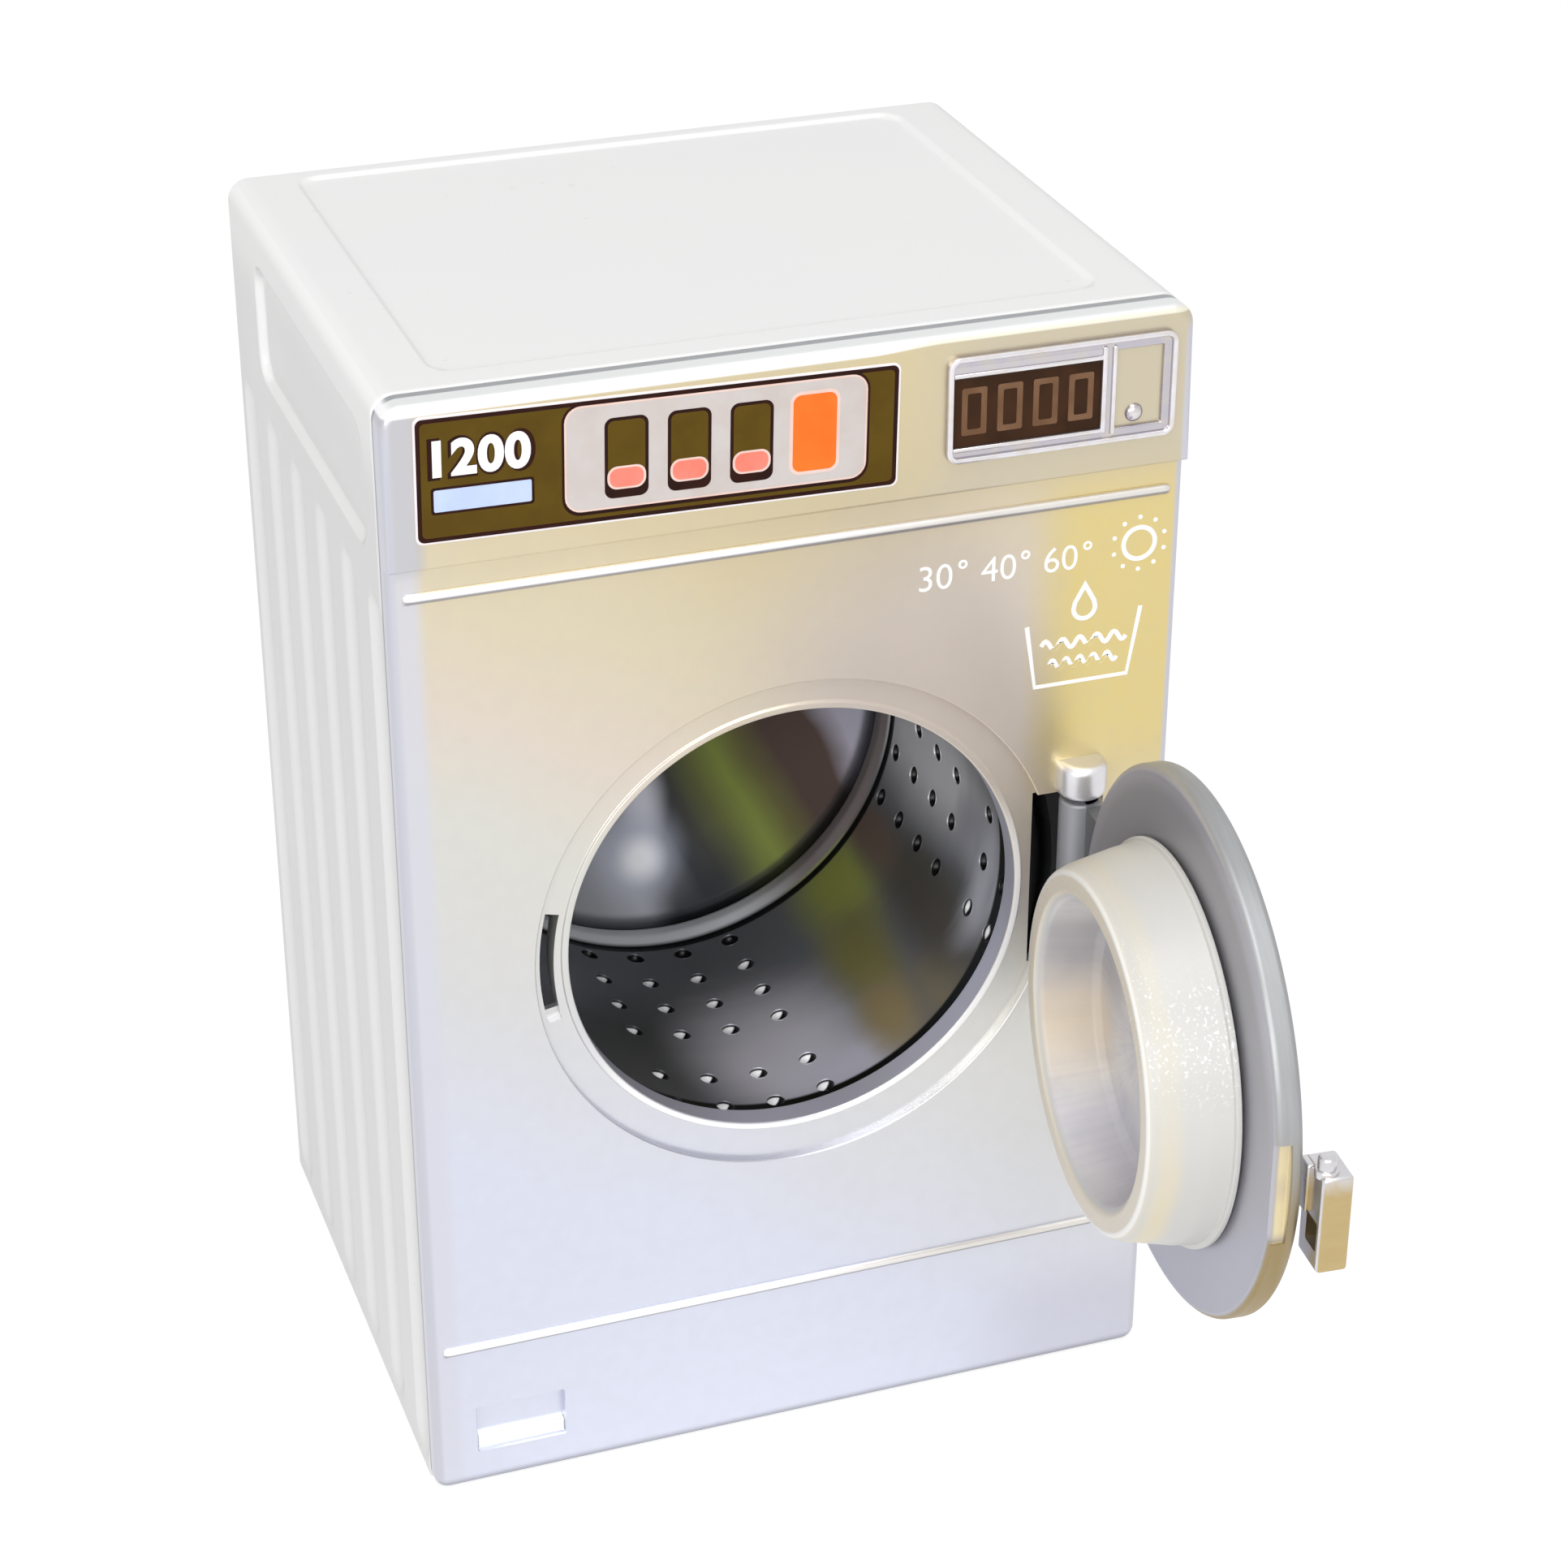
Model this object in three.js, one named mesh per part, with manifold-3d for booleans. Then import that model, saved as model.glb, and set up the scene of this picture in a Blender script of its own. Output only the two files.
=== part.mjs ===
// A dollhouse front-loading washing machine with its door standing open.
// Lengths are in millimetres. X runs to the right, Y to the back and Z up, and the origin
// lies on the floor under the middle of the cabinet. The front face looks along -Y.
import * as THREE from "three";
import { mergeVertices } from "three/addons/utils/BufferGeometryUtils.js";
import Module from "manifold-3d";

const wasm = await Module();
wasm.setup();

// Cabinet
const cabinetWidth = 50;
const cabinetDepth = 40.4;
const cabinetHeight = 76.7;
const cabinetEdgeRadius = 1.4;
const cabinetWall = 1.3;
const seamGap = 0.2; // between outer covers that meet edge to edge
const seatGap = 0.3; // between a piece and what carries it
const topFieldInset = 4.3; // from the sides to the sunk field on the top
const topFieldFront = 2.6; // from the front panel's back to that field
const topFieldBack = 1.4;
const topFieldDepth = 0.25;
const gripBelowTop = 3.1; // hand grip sunk into each side
const gripHeight = 7.6;
const gripFromFront = 4.6;
const gripFromBack = 7.4;
const gripDepth = 0.55;
const gripCornerRadius = 1.6;
const fluteCount = 6;
const fluteWidth = 3.1;
const flutesFromFront = 3.2; // from the front face to the middle of the first flute
const flutesFromBack = 2.95; // from the back to the middle of the last flute
const fluteDepth = 0.35;
const fluteBelowGrip = 2.2;
const fluteFoot = 1.2; // plain strip left under the flutes

// Front panel
const frontThickness = 1.4;
const frontFootRadius = 1; // of its two lower corners
const locatingRibDepth = 2.4;
const locatingRibWall = 1;
const fasciaHeight = 10.2;
const fasciaProud = 0.5;
const beadWidth = 0.7;
const beadProud = 0.35;
const beadInset = 0.8; // from the panel's sides to the ends of the two cross beads
const upperBeadBelowTop = 12;
const lowerBeadHeight = 11.1;
const openingCentreHeight = 38.4;
const openingRadius = 14.8;
const doorSeatRadius = 17.2;
const doorSeatDepth = 0.45;
const doorSeatDrop = 0.35; // the seat's centre below the opening's centre
const doorSeatShift = 0.2; // the seat's centre to the right of the opening's centre
const openingLipWidth = 0.4;
const openingLipRise = 0.15; // off the seat's floor
const collarWall = 1;
const collarReach = 0.6; // of the collar behind the panel
const latchSlotInnerRadius = 15.95;
const latchSlotWidth = 0.9;
const latchSlotHalfAngle = 13.5; // degrees
const latchNubAngle = 2.6; // part of the slot that is left shallow at its lower end
const latchNubDepth = 0.45;
const pocketWidth = 6.1; // filter pocket in the kick strip
const pocketHeight = 3.5;
const pocketFromSide = 3;
const pocketFromFloor = 2.6;
const pocketDepth = 0.7;
const pocketLedgeHeight = 1;
const pocketLedgeDepth = 0.3;

// Control strip
const stickerHeight = 7.85;
const stickerFromSide = 1.8;
const stickerToBezel = 2.9;
const stickerBelowTop = 0.95;
const stickerRadius = 0.45;
const stickerThickness = 0.15;
const bezelWidth = 14.75;
const bezelHeight = 6.75;
const bezelFromSide = 1.25;
const bezelBelowTop = 1.4;
const bezelBead = 0.75;
const bezelLeftBead = 0.5; // the bead's narrower left side
const bezelProud = 0.45;
const bezelRadius = 0.8;
const displayWidth = 9.3;
const displayHeight = 4.5;
const displayThickness = 0.15;
const displaySideGap = 0.12;
const domeRadius = 0.62;
const domeInset = 1.35; // from the divider bead to the small domed button
const domeRise = 1.65; // from the bezel's lower edge to that button

// Door and hinge
const doorRadius = 16.7;
const doorThickness = 1.7;
const doorStandOff = 0.1; // closed door's inner face in front of the panel's face
const doorDrop = 0.75; // the door sits this much lower than the opening's centre
const doorOpenAngle = 85.3; // degrees, as the door stands at rest
const portholeRadius = 10.2;
const portholeRimWidth = 1.6;
const portholeRimProud = 0.4;
const latchFlatReach = 16.05; // from the door's centre to the flat on its latch edge
const latchFlatHeight = 6.8;
const latchFlatBelowCentre = 3.7;
const latchFlatDepth = 1;
const hingeOffset = 18.8; // hinge axis to the opening's centre
const hingeForward = 0.45; // hinge axis in front of the panel's face
const hingeSlotHeight = 12.4;
const hingeSlotLeft = 2.9; // from the hinge axis to the slot's left edge
const hingeSideGap = 0.35;
const earRadius = 1.62;
const earHeight = 2.4;
const knuckleRadius = 1.35;
const knuckleEndGap = 0.3;
const pinRadius = 0.55;
const pinGap = 0.1;
const pinBlindDepth = 1.3; // of the pin's end in the upper ear
const armSetBack = 0.25; // from the door's faces to the hinge arm's faces
const bowlBaseRadius = 12.4;
const bowlEndRadius = 11.35;
const bowlLength = 5.5;
const bowlRimRadius = 9.2;
const bowlFloorRadius = 8.6;
const bowlFloorDepth = 3.9;
const bowlEndRounding = 0.7;
const handleWidth = 2.9;
const handleThickness = 1.9;
const handleHeight = 6.4;
const handleReach = 18; // from the opening's centre to the handle's outer side
const handleFoot = 0.6; // of the handle off the door's outer face
const handleBelowCentre = 4.9;
const gripNotchHeight = 1.9;
const gripNotchWidth = 1.5;
const gripNotchFromFoot = 1.3;
const handlePegRadius = 0.55;
const handlePegHeight = 1;
const handlePegFromSide = 0.95;
const handlePegSetBack = 0.4; // from the block's middle towards the door

// Drum, tub and bearing
const drumRadius = 16.4; // inside
const drumWall = 0.9;
const drumFrontGap = 0.5;
const drumBeadWidth = 2.1;
const drumBeadRise = 0.6;
const domeDepth = 4;
const domeWall = 0.8;
const hubRadius = 3;
const hubLength = 1.5;
const holeRadius = 0.55;
const holeColumnPitch = 3.5;
const holeRowGapShare = 1.643; // wider gap in front of the rear rows, in row pitches
const holeRows = 6;
const holeRowsBehindGap = 4;
const holeColumns = 4;
const holeBlocks = 4;
const holesFromBead = 1.4;
const holesFromDrumFront = 3.15;
const drumTurn = 5; // degrees, as the drum stands at rest
const tubGap = 1;
const tubWall = 1;
const tubFrontGap = 1;
const tubBackThickness = 1;
const tubBackGap = 0.4; // between the drum's hub and the tub's back
const lugRadius = 2;
const lugCentreRadius = 21.8;
const lugThickness = 1.8;
const lugFromPanel = 2.6; // length of the posts that carry the lugs
const postRadius = 1.8;
const spindleRadius = 1.2;
const spindleGap = 0.1; // in the bush
const bushWall = 1;
const bushLength = 1.7;
const clipRadius = 2.3;
const clipThickness = 0.4;
const spindlePastClip = 0.2;
const spindleToCover = 1.1; // from the spindle's end to the back cover

// Covers and fasteners
const backThickness = 1.2;
const backSetIn = 0.2;
const baseThickness = 1.3;
const coverPostRadius = 2;
const coverPostLength = 7;
const coverPostFromSide = 3; // from the cabinet's outer side to the post's centre
const coverPostFromEnd = 5; // from the cabinet's top and floor to the post's centre
const screwShankRadius = 0.7;
const screwHeadRadius = 1.5;
const screwHeadHeight = 0.8;
const screwGap = 0.2;
const tubScrewLength = 4.2;
const coverScrewLength = 4.5;
const screwSlotWidth = 0.4;
const screwSlotDepth = 0.35;
const backFieldInset = 9; // raised field on the back cover
const backFieldProud = 0.15;

// Facets
const roundFacets = 60;
const drumFacets = 48;
const smallFacets = 20;
const holeFacets = 6;
const cornerFacets = 4;
const domeSteps = 5;

// Worked out from the values above
const frontY = -cabinetDepth / 2;
const backY = cabinetDepth / 2;
const panelBackY = frontY + frontThickness;
const halfWidth = cabinetWidth / 2;
const innerHalfWidth = halfWidth - cabinetWall;
const fasciaZ = cabinetHeight - fasciaHeight;
const fasciaY = frontY - fasciaProud;
const hingeX = hingeOffset;
const hingeY = frontY - hingeForward;
const hingeSlotTop = openingCentreHeight + hingeSlotHeight / 2;
const hingeSlotBottom = openingCentreHeight - hingeSlotHeight / 2;
const backInnerY = backY - backSetIn - backThickness;
const spindleEndY = backInnerY - spindleToCover;
const clipStartY = spindleEndY - spindlePastClip - clipThickness;
const tubBackY = clipStartY - seatGap - bushLength;
const hubEndY = tubBackY - tubBackGap;
const hubStartY = hubEndY - hubLength;
const domeCentreY = hubStartY - domeWall;
const domeRimY = domeCentreY - domeDepth;
const drumBackY = domeRimY - seatGap;
const drumFrontY = panelBackY + drumFrontGap;
const drumOuterRadius = drumRadius + drumWall;
const tubInnerRadius = drumOuterRadius + tubGap;
const tubOuterRadius = tubInnerRadius + tubWall;
const tubFrontY = panelBackY + tubFrontGap;
const bushRadius = spindleRadius + spindleGap + bushWall;
const lugX = lugCentreRadius * Math.SQRT1_2;
const degrees = Math.PI / 180;

// A closed geometry as a solid: vertices merged, empty triangles dropped and faces turned out.
function solidOf(geometry) {
  const bare = geometry.index ? geometry.toNonIndexed() : geometry.clone();
  bare.deleteAttribute("normal");
  bare.deleteAttribute("uv");
  const merged = mergeVertices(bare, 1e-4);
  const points = merged.attributes.position.array;
  const corner = (i) => new THREE.Vector3().fromArray(points, i * 3);
  const triangles = [];
  let volume = 0;
  for (let i = 0; i < merged.index.count; i += 3) {
    const [a, b, c] = merged.index.array.slice(i, i + 3);
    if (a === b || b === c || c === a) continue;
    triangles.push([a, b, c]);
    volume += corner(a).dot(corner(b).cross(corner(c)));
  }
  const facing = volume < 0 ? triangles.map(([a, b, c]) => [a, c, b]) : triangles;
  const vertProperties = Float32Array.from(points);
  const triVerts = Uint32Array.from(facing.flat());
  return new wasm.Manifold(new wasm.Mesh({ numProp: 3, vertProperties, triVerts }));
}

// A solid as a geometry to draw.
function geometryOf(solid) {
  const mesh = solid.getMesh();
  const geometry = new THREE.BufferGeometry();
  geometry.setAttribute("position", new THREE.BufferAttribute(Float32Array.from(mesh.vertProperties), 3));
  geometry.setIndex(new THREE.BufferAttribute(Uint32Array.from(mesh.triVerts), 1));
  geometry.computeVertexNormals();
  return geometry;
}

const join = (first, ...others) => others.reduce((sum, other) => sum.add(other), first);
const cut = (first, ...others) => others.reduce((rest, other) => rest.subtract(other), first);

// A box between two corners.
function block(x0, x1, y0, y1, z0, z1) {
  const geometry = new THREE.BoxGeometry(x1 - x0, y1 - y0, z1 - z0);
  return solidOf(geometry.translate((x0 + x1) / 2, (y0 + y1) / 2, (z0 + z1) / 2));
}

// A cylinder that runs along Y, or a cone where the far radius differs.
function rodY(x, z, radius, y0, y1, facets = smallFacets, farRadius = radius) {
  const geometry = new THREE.CylinderGeometry(farRadius, radius, y1 - y0, facets);
  return solidOf(geometry.translate(0, (y0 + y1) / 2, 0).translate(x, 0, z));
}

// A cylinder that runs along Z.
function rodZ(x, y, radius, z0, z1, facets = smallFacets) {
  const geometry = new THREE.CylinderGeometry(radius, radius, z1 - z0, facets);
  return solidOf(geometry.rotateX(Math.PI / 2).translate(x, y, (z0 + z1) / 2));
}

// A profile of [radius, y] points turned about the Y axis at the given place.
function turned(profile, x = 0, z = 0, facets = roundFacets) {
  const points = profile.map(([radius, y]) => new THREE.Vector2(radius, y));
  return solidOf(new THREE.LatheGeometry(points, facets).translate(x, 0, z));
}

// A ring with a rectangular section, turned about the Y axis at the given place.
function ring(x, z, inner, outer, y0, y1, facets = roundFacets) {
  const profile = [[inner, y0], [outer, y0], [outer, y1], [inner, y1], [inner, y0]];
  return turned(profile, x, z, facets);
}

// A rounded rectangle in X and Z, with its own radius at the top and the bottom corners.
function roundedOutline(x0, x1, z0, z1, topRadius, bottomRadius = topRadius) {
  const outline = new THREE.Shape();
  outline.moveTo(x0 + bottomRadius, z0);
  outline.lineTo(x1 - bottomRadius, z0);
  if (bottomRadius) outline.absarc(x1 - bottomRadius, z0 + bottomRadius, bottomRadius, -Math.PI / 2, 0);
  outline.lineTo(x1, z1 - topRadius);
  if (topRadius) outline.absarc(x1 - topRadius, z1 - topRadius, topRadius, 0, Math.PI / 2);
  outline.lineTo(x0 + topRadius, z1);
  if (topRadius) outline.absarc(x0 + topRadius, z1 - topRadius, topRadius, Math.PI / 2, Math.PI);
  outline.lineTo(x0, z0 + bottomRadius);
  if (bottomRadius) outline.absarc(x0 + bottomRadius, z0 + bottomRadius, bottomRadius, Math.PI, 1.5 * Math.PI);
  return outline;
}

// An outline in X and Z drawn out along Y.
function slab(outline, y0, y1, curveSegments = cornerFacets) {
  const settings = { depth: y1 - y0, bevelEnabled: false, curveSegments };
  return solidOf(new THREE.ExtrudeGeometry(outline, settings).rotateX(Math.PI / 2).translate(0, y1, 0));
}

// A curved bar about an axis along Y, between two radii and two angles from +X towards +Z.
function arcBar(x, z, inner, outer, fromAngle, toAngle, y0, y1) {
  const outline = new THREE.Shape();
  outline.absarc(x, z, outer, fromAngle, toAngle);
  outline.absarc(x, z, inner, toAngle, fromAngle, true);
  return slab(outline, y0, y1, cornerFacets);
}

// A bead with a rounded front, lying along X on a face that looks along -Y.
function crossBead(x0, x1, z, faceY) {
  const radius = beadWidth / 2;
  const geometry = new THREE.CylinderGeometry(radius, radius, x1 - x0, 12);
  geometry.rotateZ(Math.PI / 2).scale(1, beadProud / radius, 1).translate((x0 + x1) / 2, faceY, z);
  return solidOf(geometry);
}

// Front panel: a slab with a proud fascia, cut for the opening, the latch and the hinge.
function frontPanel() {
  const centre = openingCentreHeight;
  const outline = (inset) =>
    roundedOutline(
      -halfWidth + inset,
      halfWidth - inset,
      inset,
      cabinetHeight - inset,
      cabinetEdgeRadius,
      frontFootRadius,
    );
  const face = slab(outline(0), frontY, panelBackY);
  const fascia = slab(outline(0), fasciaY, frontY + frontThickness / 2);
  const aboveFascia = block(-cabinetWidth, cabinetWidth, fasciaY - 1, backY, fasciaZ, cabinetHeight + 1);
  const collarEndY = panelBackY + collarReach;
  const collar = rodY(0, centre, openingRadius + collarWall, panelBackY - 0.5, collarEndY, roundFacets);
  const beadEnd = halfWidth - beadInset;
  const beads = [cabinetHeight - upperBeadBelowTop, lowerBeadHeight].map((z) =>
    crossBead(-beadEnd, beadEnd, z, frontY),
  );
  const posts = lugPlaces().map(([x, z]) =>
    rodY(x, z, postRadius, panelBackY - 0.5, panelBackY + lugFromPanel),
  );
  const raised = join(
    face,
    fascia.intersect(aboveFascia),
    locatingRib(),
    collar,
    ...beads,
    ...posts,
    ...hingeEars(),
    displayBezel(),
  );
  const seatZ = centre - doorSeatDrop;
  const seat = rodY(doorSeatShift, seatZ, doorSeatRadius, frontY - 1, frontY + doorSeatDepth, roundFacets);
  const lipY = frontY + doorSeatDepth - openingLipRise;
  const lip = rodY(0, centre, openingRadius + openingLipWidth, lipY, panelBackY, roundFacets);
  const opening = rodY(0, centre, openingRadius, frontY - 1, backY, roundFacets);
  const pilotHoles = lugPlaces().map(([x, z]) =>
    rodY(x, z, screwShankRadius + screwGap, panelBackY - 0.4, panelBackY + lugFromPanel + 1, 12),
  );
  const seated = join(cut(raised, seat), lip);
  return cut(seated, opening, ...latchSlot(), hingeSlot(), pinBore(), ...filterPocket(), ...pilotHoles);
}

// Wall that stands just inside the cabinet and lines the panel up with it.
function locatingRib() {
  const outer = cabinetWall + seatGap;
  const bottom = baseThickness + seatGap;
  const ribOutline = (inset) =>
    roundedOutline(
      -halfWidth + outer + inset,
      halfWidth - outer - inset,
      bottom + inset,
      cabinetHeight - outer - inset,
      cabinetEdgeRadius / 3,
    );
  const y0 = panelBackY - 0.5;
  const y1 = panelBackY + locatingRibDepth;
  return cut(slab(ribOutline(0), y0, y1), slab(ribOutline(locatingRibWall), y0 - 1, y1 + 1));
}

// Half-round ears above and below the hinge slot.
function hingeEars() {
  return [hingeSlotTop, hingeSlotBottom - earHeight].map((z) => {
    const nose = rodZ(hingeX, hingeY, earRadius, z, z + earHeight);
    const root = block(hingeX - earRadius, hingeX + earRadius, hingeY, frontY + 0.5, z, z + earHeight);
    return join(nose, root);
  });
}

function hingeSlot() {
  const right = hingeX + knuckleRadius + hingeSideGap;
  return block(hingeX - hingeSlotLeft, right, frontY - 0.01, backY, hingeSlotBottom, hingeSlotTop);
}

// Bore for the hinge pin: through the lower ear and blind in the upper one.
function pinBore() {
  const bottom = hingeSlotBottom - earHeight - 1;
  return rodZ(hingeX, hingeY, pinRadius + pinGap, bottom, hingeSlotTop + pinBlindDepth, 16);
}

// Curved latch slot on the left of the opening, left shallow at its lower end.
function latchSlot() {
  const inner = latchSlotInnerRadius;
  const outer = inner + latchSlotWidth;
  const half = latchSlotHalfAngle * degrees;
  const nub = latchNubAngle * degrees;
  const seatZ = openingCentreHeight - doorSeatDrop;
  const bar = (fromAngle, toAngle, y1) =>
    arcBar(doorSeatShift, seatZ, inner, outer, fromAngle, toAngle, frontY - 1, y1);
  const through = bar(Math.PI - half, Math.PI + half - nub, backY);
  const nubEndY = frontY + doorSeatDepth + latchNubDepth;
  const shallow = bar(Math.PI + half - nub * 1.2, Math.PI + half, nubEndY);
  return [through, shallow];
}

// Shallow filter pocket in the kick strip, with a ledge along its foot.
function filterPocket() {
  const x0 = -halfWidth + pocketFromSide;
  const x1 = x0 + pocketWidth;
  const top = pocketFromFloor + pocketHeight;
  const ledgeTop = pocketFromFloor + pocketLedgeHeight;
  const upper = block(x0, x1, frontY - 1, frontY + pocketDepth, ledgeTop, top);
  const lower = block(x0, x1, frontY - 1, frontY + pocketLedgeDepth, pocketFromFloor, ledgeTop + 0.01);
  return [upper, lower];
}

// Where the bezel stands on the fascia.
function bezelBox() {
  const x1 = halfWidth - bezelFromSide;
  const z1 = cabinetHeight - bezelBelowTop;
  return { x0: x1 - bezelWidth, x1, z0: z1 - bezelHeight, z1 };
}

// Where the display lies inside the bezel.
function displayBox() {
  const bezel = bezelBox();
  const middle = (bezel.z0 + bezel.z1) / 2;
  const x0 = bezel.x0 + bezelLeftBead + displaySideGap;
  return { x0, x1: x0 + displayWidth, z0: middle - displayHeight / 2, z1: middle + displayHeight / 2 };
}

// Raised bead round the display, its divider and a small domed button.
function displayBezel() {
  const { x0, x1, z0, z1 } = bezelBox();
  const frontOfBead = fasciaY - bezelProud;
  const rearOfBead = fasciaY + 0.3;
  const inset = bezelBead;
  const inside = roundedOutline(x0 + bezelLeftBead, x1 - inset, z0 + inset, z1 - inset, bezelRadius / 2);
  const frame = cut(
    slab(roundedOutline(x0, x1, z0, z1, bezelRadius), frontOfBead, rearOfBead),
    slab(inside, frontOfBead - 1, rearOfBead + 1),
  );
  const dividerX = displayBox().x1 + displaySideGap;
  const dividerFoot = z0 + bezelBead / 2;
  const dividerHead = z1 - bezelBead / 2;
  const divider = block(dividerX, dividerX + bezelBead, frontOfBead, rearOfBead, dividerFoot, dividerHead);
  const dome = new THREE.SphereGeometry(domeRadius, 12, 8);
  dome.translate(dividerX + bezelBead + domeInset, fasciaY, z0 + domeRise);
  return join(frame, divider, solidOf(dome));
}

// The four places where the tub is screwed to the front panel.
function lugPlaces() {
  return [-1, 1].flatMap((side) => [-1, 1].map((level) => [side * lugX, openingCentreHeight + level * lugX]));
}

// The four places where the back cover is screwed to the cabinet.
function coverPostPlaces() {
  const x = halfWidth - coverPostFromSide;
  const levels = [coverPostFromEnd, cabinetHeight - coverPostFromEnd];
  return [-1, 1].flatMap((side) => levels.map((z) => [side * x, z]));
}

// Cabinet: the top and both sides in one shell, with sunk fields and fluted sides.
function cabinetShell() {
  const y0 = panelBackY + seamGap;
  const outer = roundedOutline(-halfWidth, halfWidth, 0, cabinetHeight, cabinetEdgeRadius, 0);
  const inner = roundedOutline(
    -innerHalfWidth,
    innerHalfWidth,
    -1,
    cabinetHeight - cabinetWall,
    cabinetEdgeRadius / 3,
    0,
  );
  const walls = cut(slab(outer, y0, backY), slab(inner, y0 - 1, backY + 1));
  const posts = coverPostPlaces().map(([x, z]) =>
    rodY(x, z, coverPostRadius, backInnerY - seatGap - coverPostLength, backInnerY - seatGap, 16),
  );
  const bores = coverPostPlaces().map(([x, z]) =>
    rodY(x, z, screwShankRadius + screwGap, backInnerY - seatGap - coverPostLength + 1, backY, 12),
  );
  return cut(join(walls, ...posts), topField(), ...sideGrips(), ...sideFlutes(), ...bores);
}

// Shallow field sunk into the top.
function topField() {
  const x = halfWidth - topFieldInset;
  const y0 = panelBackY + topFieldFront;
  return block(-x, x, y0, backY - topFieldBack, cabinetHeight - topFieldDepth, cabinetHeight + 1);
}

// Rounded hand grips sunk into both sides near the top.
function sideGrips() {
  const z1 = cabinetHeight - gripBelowTop;
  const y0 = frontY + gripFromFront;
  const outline = roundedOutline(y0, backY - gripFromBack, z1 - gripHeight, z1, gripCornerRadius);
  return [-1, 1].map((side) => {
    const settings = { depth: gripDepth + 1, bevelEnabled: false, curveSegments: cornerFacets };
    const geometry = new THREE.ExtrudeGeometry(outline, settings);
    // the outline's own X becomes Y and its own Y becomes Z
    geometry.applyMatrix4(new THREE.Matrix4().set(0, 0, 1, 0, 1, 0, 0, 0, 0, 1, 0, 0, 0, 0, 0, 1));
    geometry.translate(side > 0 ? halfWidth - gripDepth : -halfWidth - 1, 0, 0);
    return solidOf(geometry);
  });
}

// Upright flutes with rounded heads along both sides.
function sideFlutes() {
  const head = cabinetHeight - gripBelowTop - gripHeight - fluteBelowGrip;
  const pitch = (cabinetDepth - flutesFromFront - flutesFromBack) / (fluteCount - 1);
  const places = [...Array(fluteCount).keys()].map((i) => frontY + flutesFromFront + i * pitch);
  return [-1, 1].flatMap((side) =>
    places.map((y) => {
      const radius = fluteWidth / 2;
      const length = head - fluteFoot - radius;
      const geometry = new THREE.CapsuleGeometry(radius, length - radius, 4, 12, 1);
      geometry.rotateX(Math.PI / 2).scale(fluteDepth / radius, 1, 1);
      return solidOf(geometry.translate(side * halfWidth, y, fluteFoot + radius + (length - radius) / 2));
    }),
  );
}

// Back cover inside the cabinet's rear edge, with a slightly raised field and screw seats.
function backCover() {
  const x = innerHalfWidth - seatGap;
  const y1 = backY - backSetIn;
  const top = cabinetHeight - cabinetWall - seatGap;
  const plate = block(-x, x, backInnerY, y1, 0, top);
  const fieldX = x - backFieldInset;
  const field = block(-fieldX, fieldX, y1 - 0.1, y1 + backFieldProud, backFieldInset, top - backFieldInset);
  const holes = coverPostPlaces().map(([hx, hz]) =>
    rodY(hx, hz, screwShankRadius + screwGap, backInnerY - 1, backY + 1, 12),
  );
  return cut(join(plate, field), ...holes);
}

// Base plate between the sides, flush with the cabinet's lower edge.
function basePlate() {
  const x = innerHalfWidth - seatGap;
  return block(-x, x, panelBackY + seatGap, backInnerY - seatGap, 0, baseThickness);
}

// Perforated drum cylinder with a bead round its rear end, about the Y axis.
function drumShell() {
  const beadStart = drumBackY - drumBeadWidth;
  const beadCrest = drumRadius - drumBeadRise;
  const profile = [
    [drumOuterRadius, drumFrontY],
    [drumOuterRadius, drumBackY],
    [beadCrest + drumBeadRise / 3, drumBackY],
    [beadCrest, drumBackY - drumBeadWidth / 4],
    [beadCrest, beadStart + drumBeadWidth / 3],
    [drumRadius, beadStart],
    [drumRadius, drumFrontY],
    [drumOuterRadius, drumFrontY],
  ];
  return cut(turned(profile, 0, 0, drumFacets), ...drumHoles());
}

// Holes of the drum in square blocks round its wall, with a wider gap after the rear rows.
function drumHoles() {
  const firstRowY = drumBackY - drumBeadWidth - holesFromBead;
  const lastRowY = drumFrontY + holesFromDrumFront;
  const pitches = (row) => (row >= holeRowsBehindGap ? row + holeRowGapShare - 1 : row);
  const rowPitch = (firstRowY - lastRowY) / pitches(holeRows - 1);
  const rowY = (row) => firstRowY - rowPitch * pitches(row);
  const columnAngle = holeColumnPitch / drumRadius;
  const holes = [];
  for (let piece = 0; piece < holeBlocks; piece += 1) {
    for (let column = 0; column < holeColumns; column += 1) {
      const step = column - (holeColumns - 1) / 2;
      const angle = Math.PI + drumTurn * degrees + (piece * 2 * Math.PI) / holeBlocks + step * columnAngle;
      for (let row = 0; row < holeRows; row += 1) {
        const geometry = new THREE.CylinderGeometry(holeRadius, holeRadius, drumWall * 4, holeFacets);
        geometry.rotateX(Math.PI / 2).translate(0, rowY(row), drumRadius + drumWall / 2).rotateY(angle);
        holes.push(solidOf(geometry));
      }
    }
  }
  return holes;
}

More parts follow.
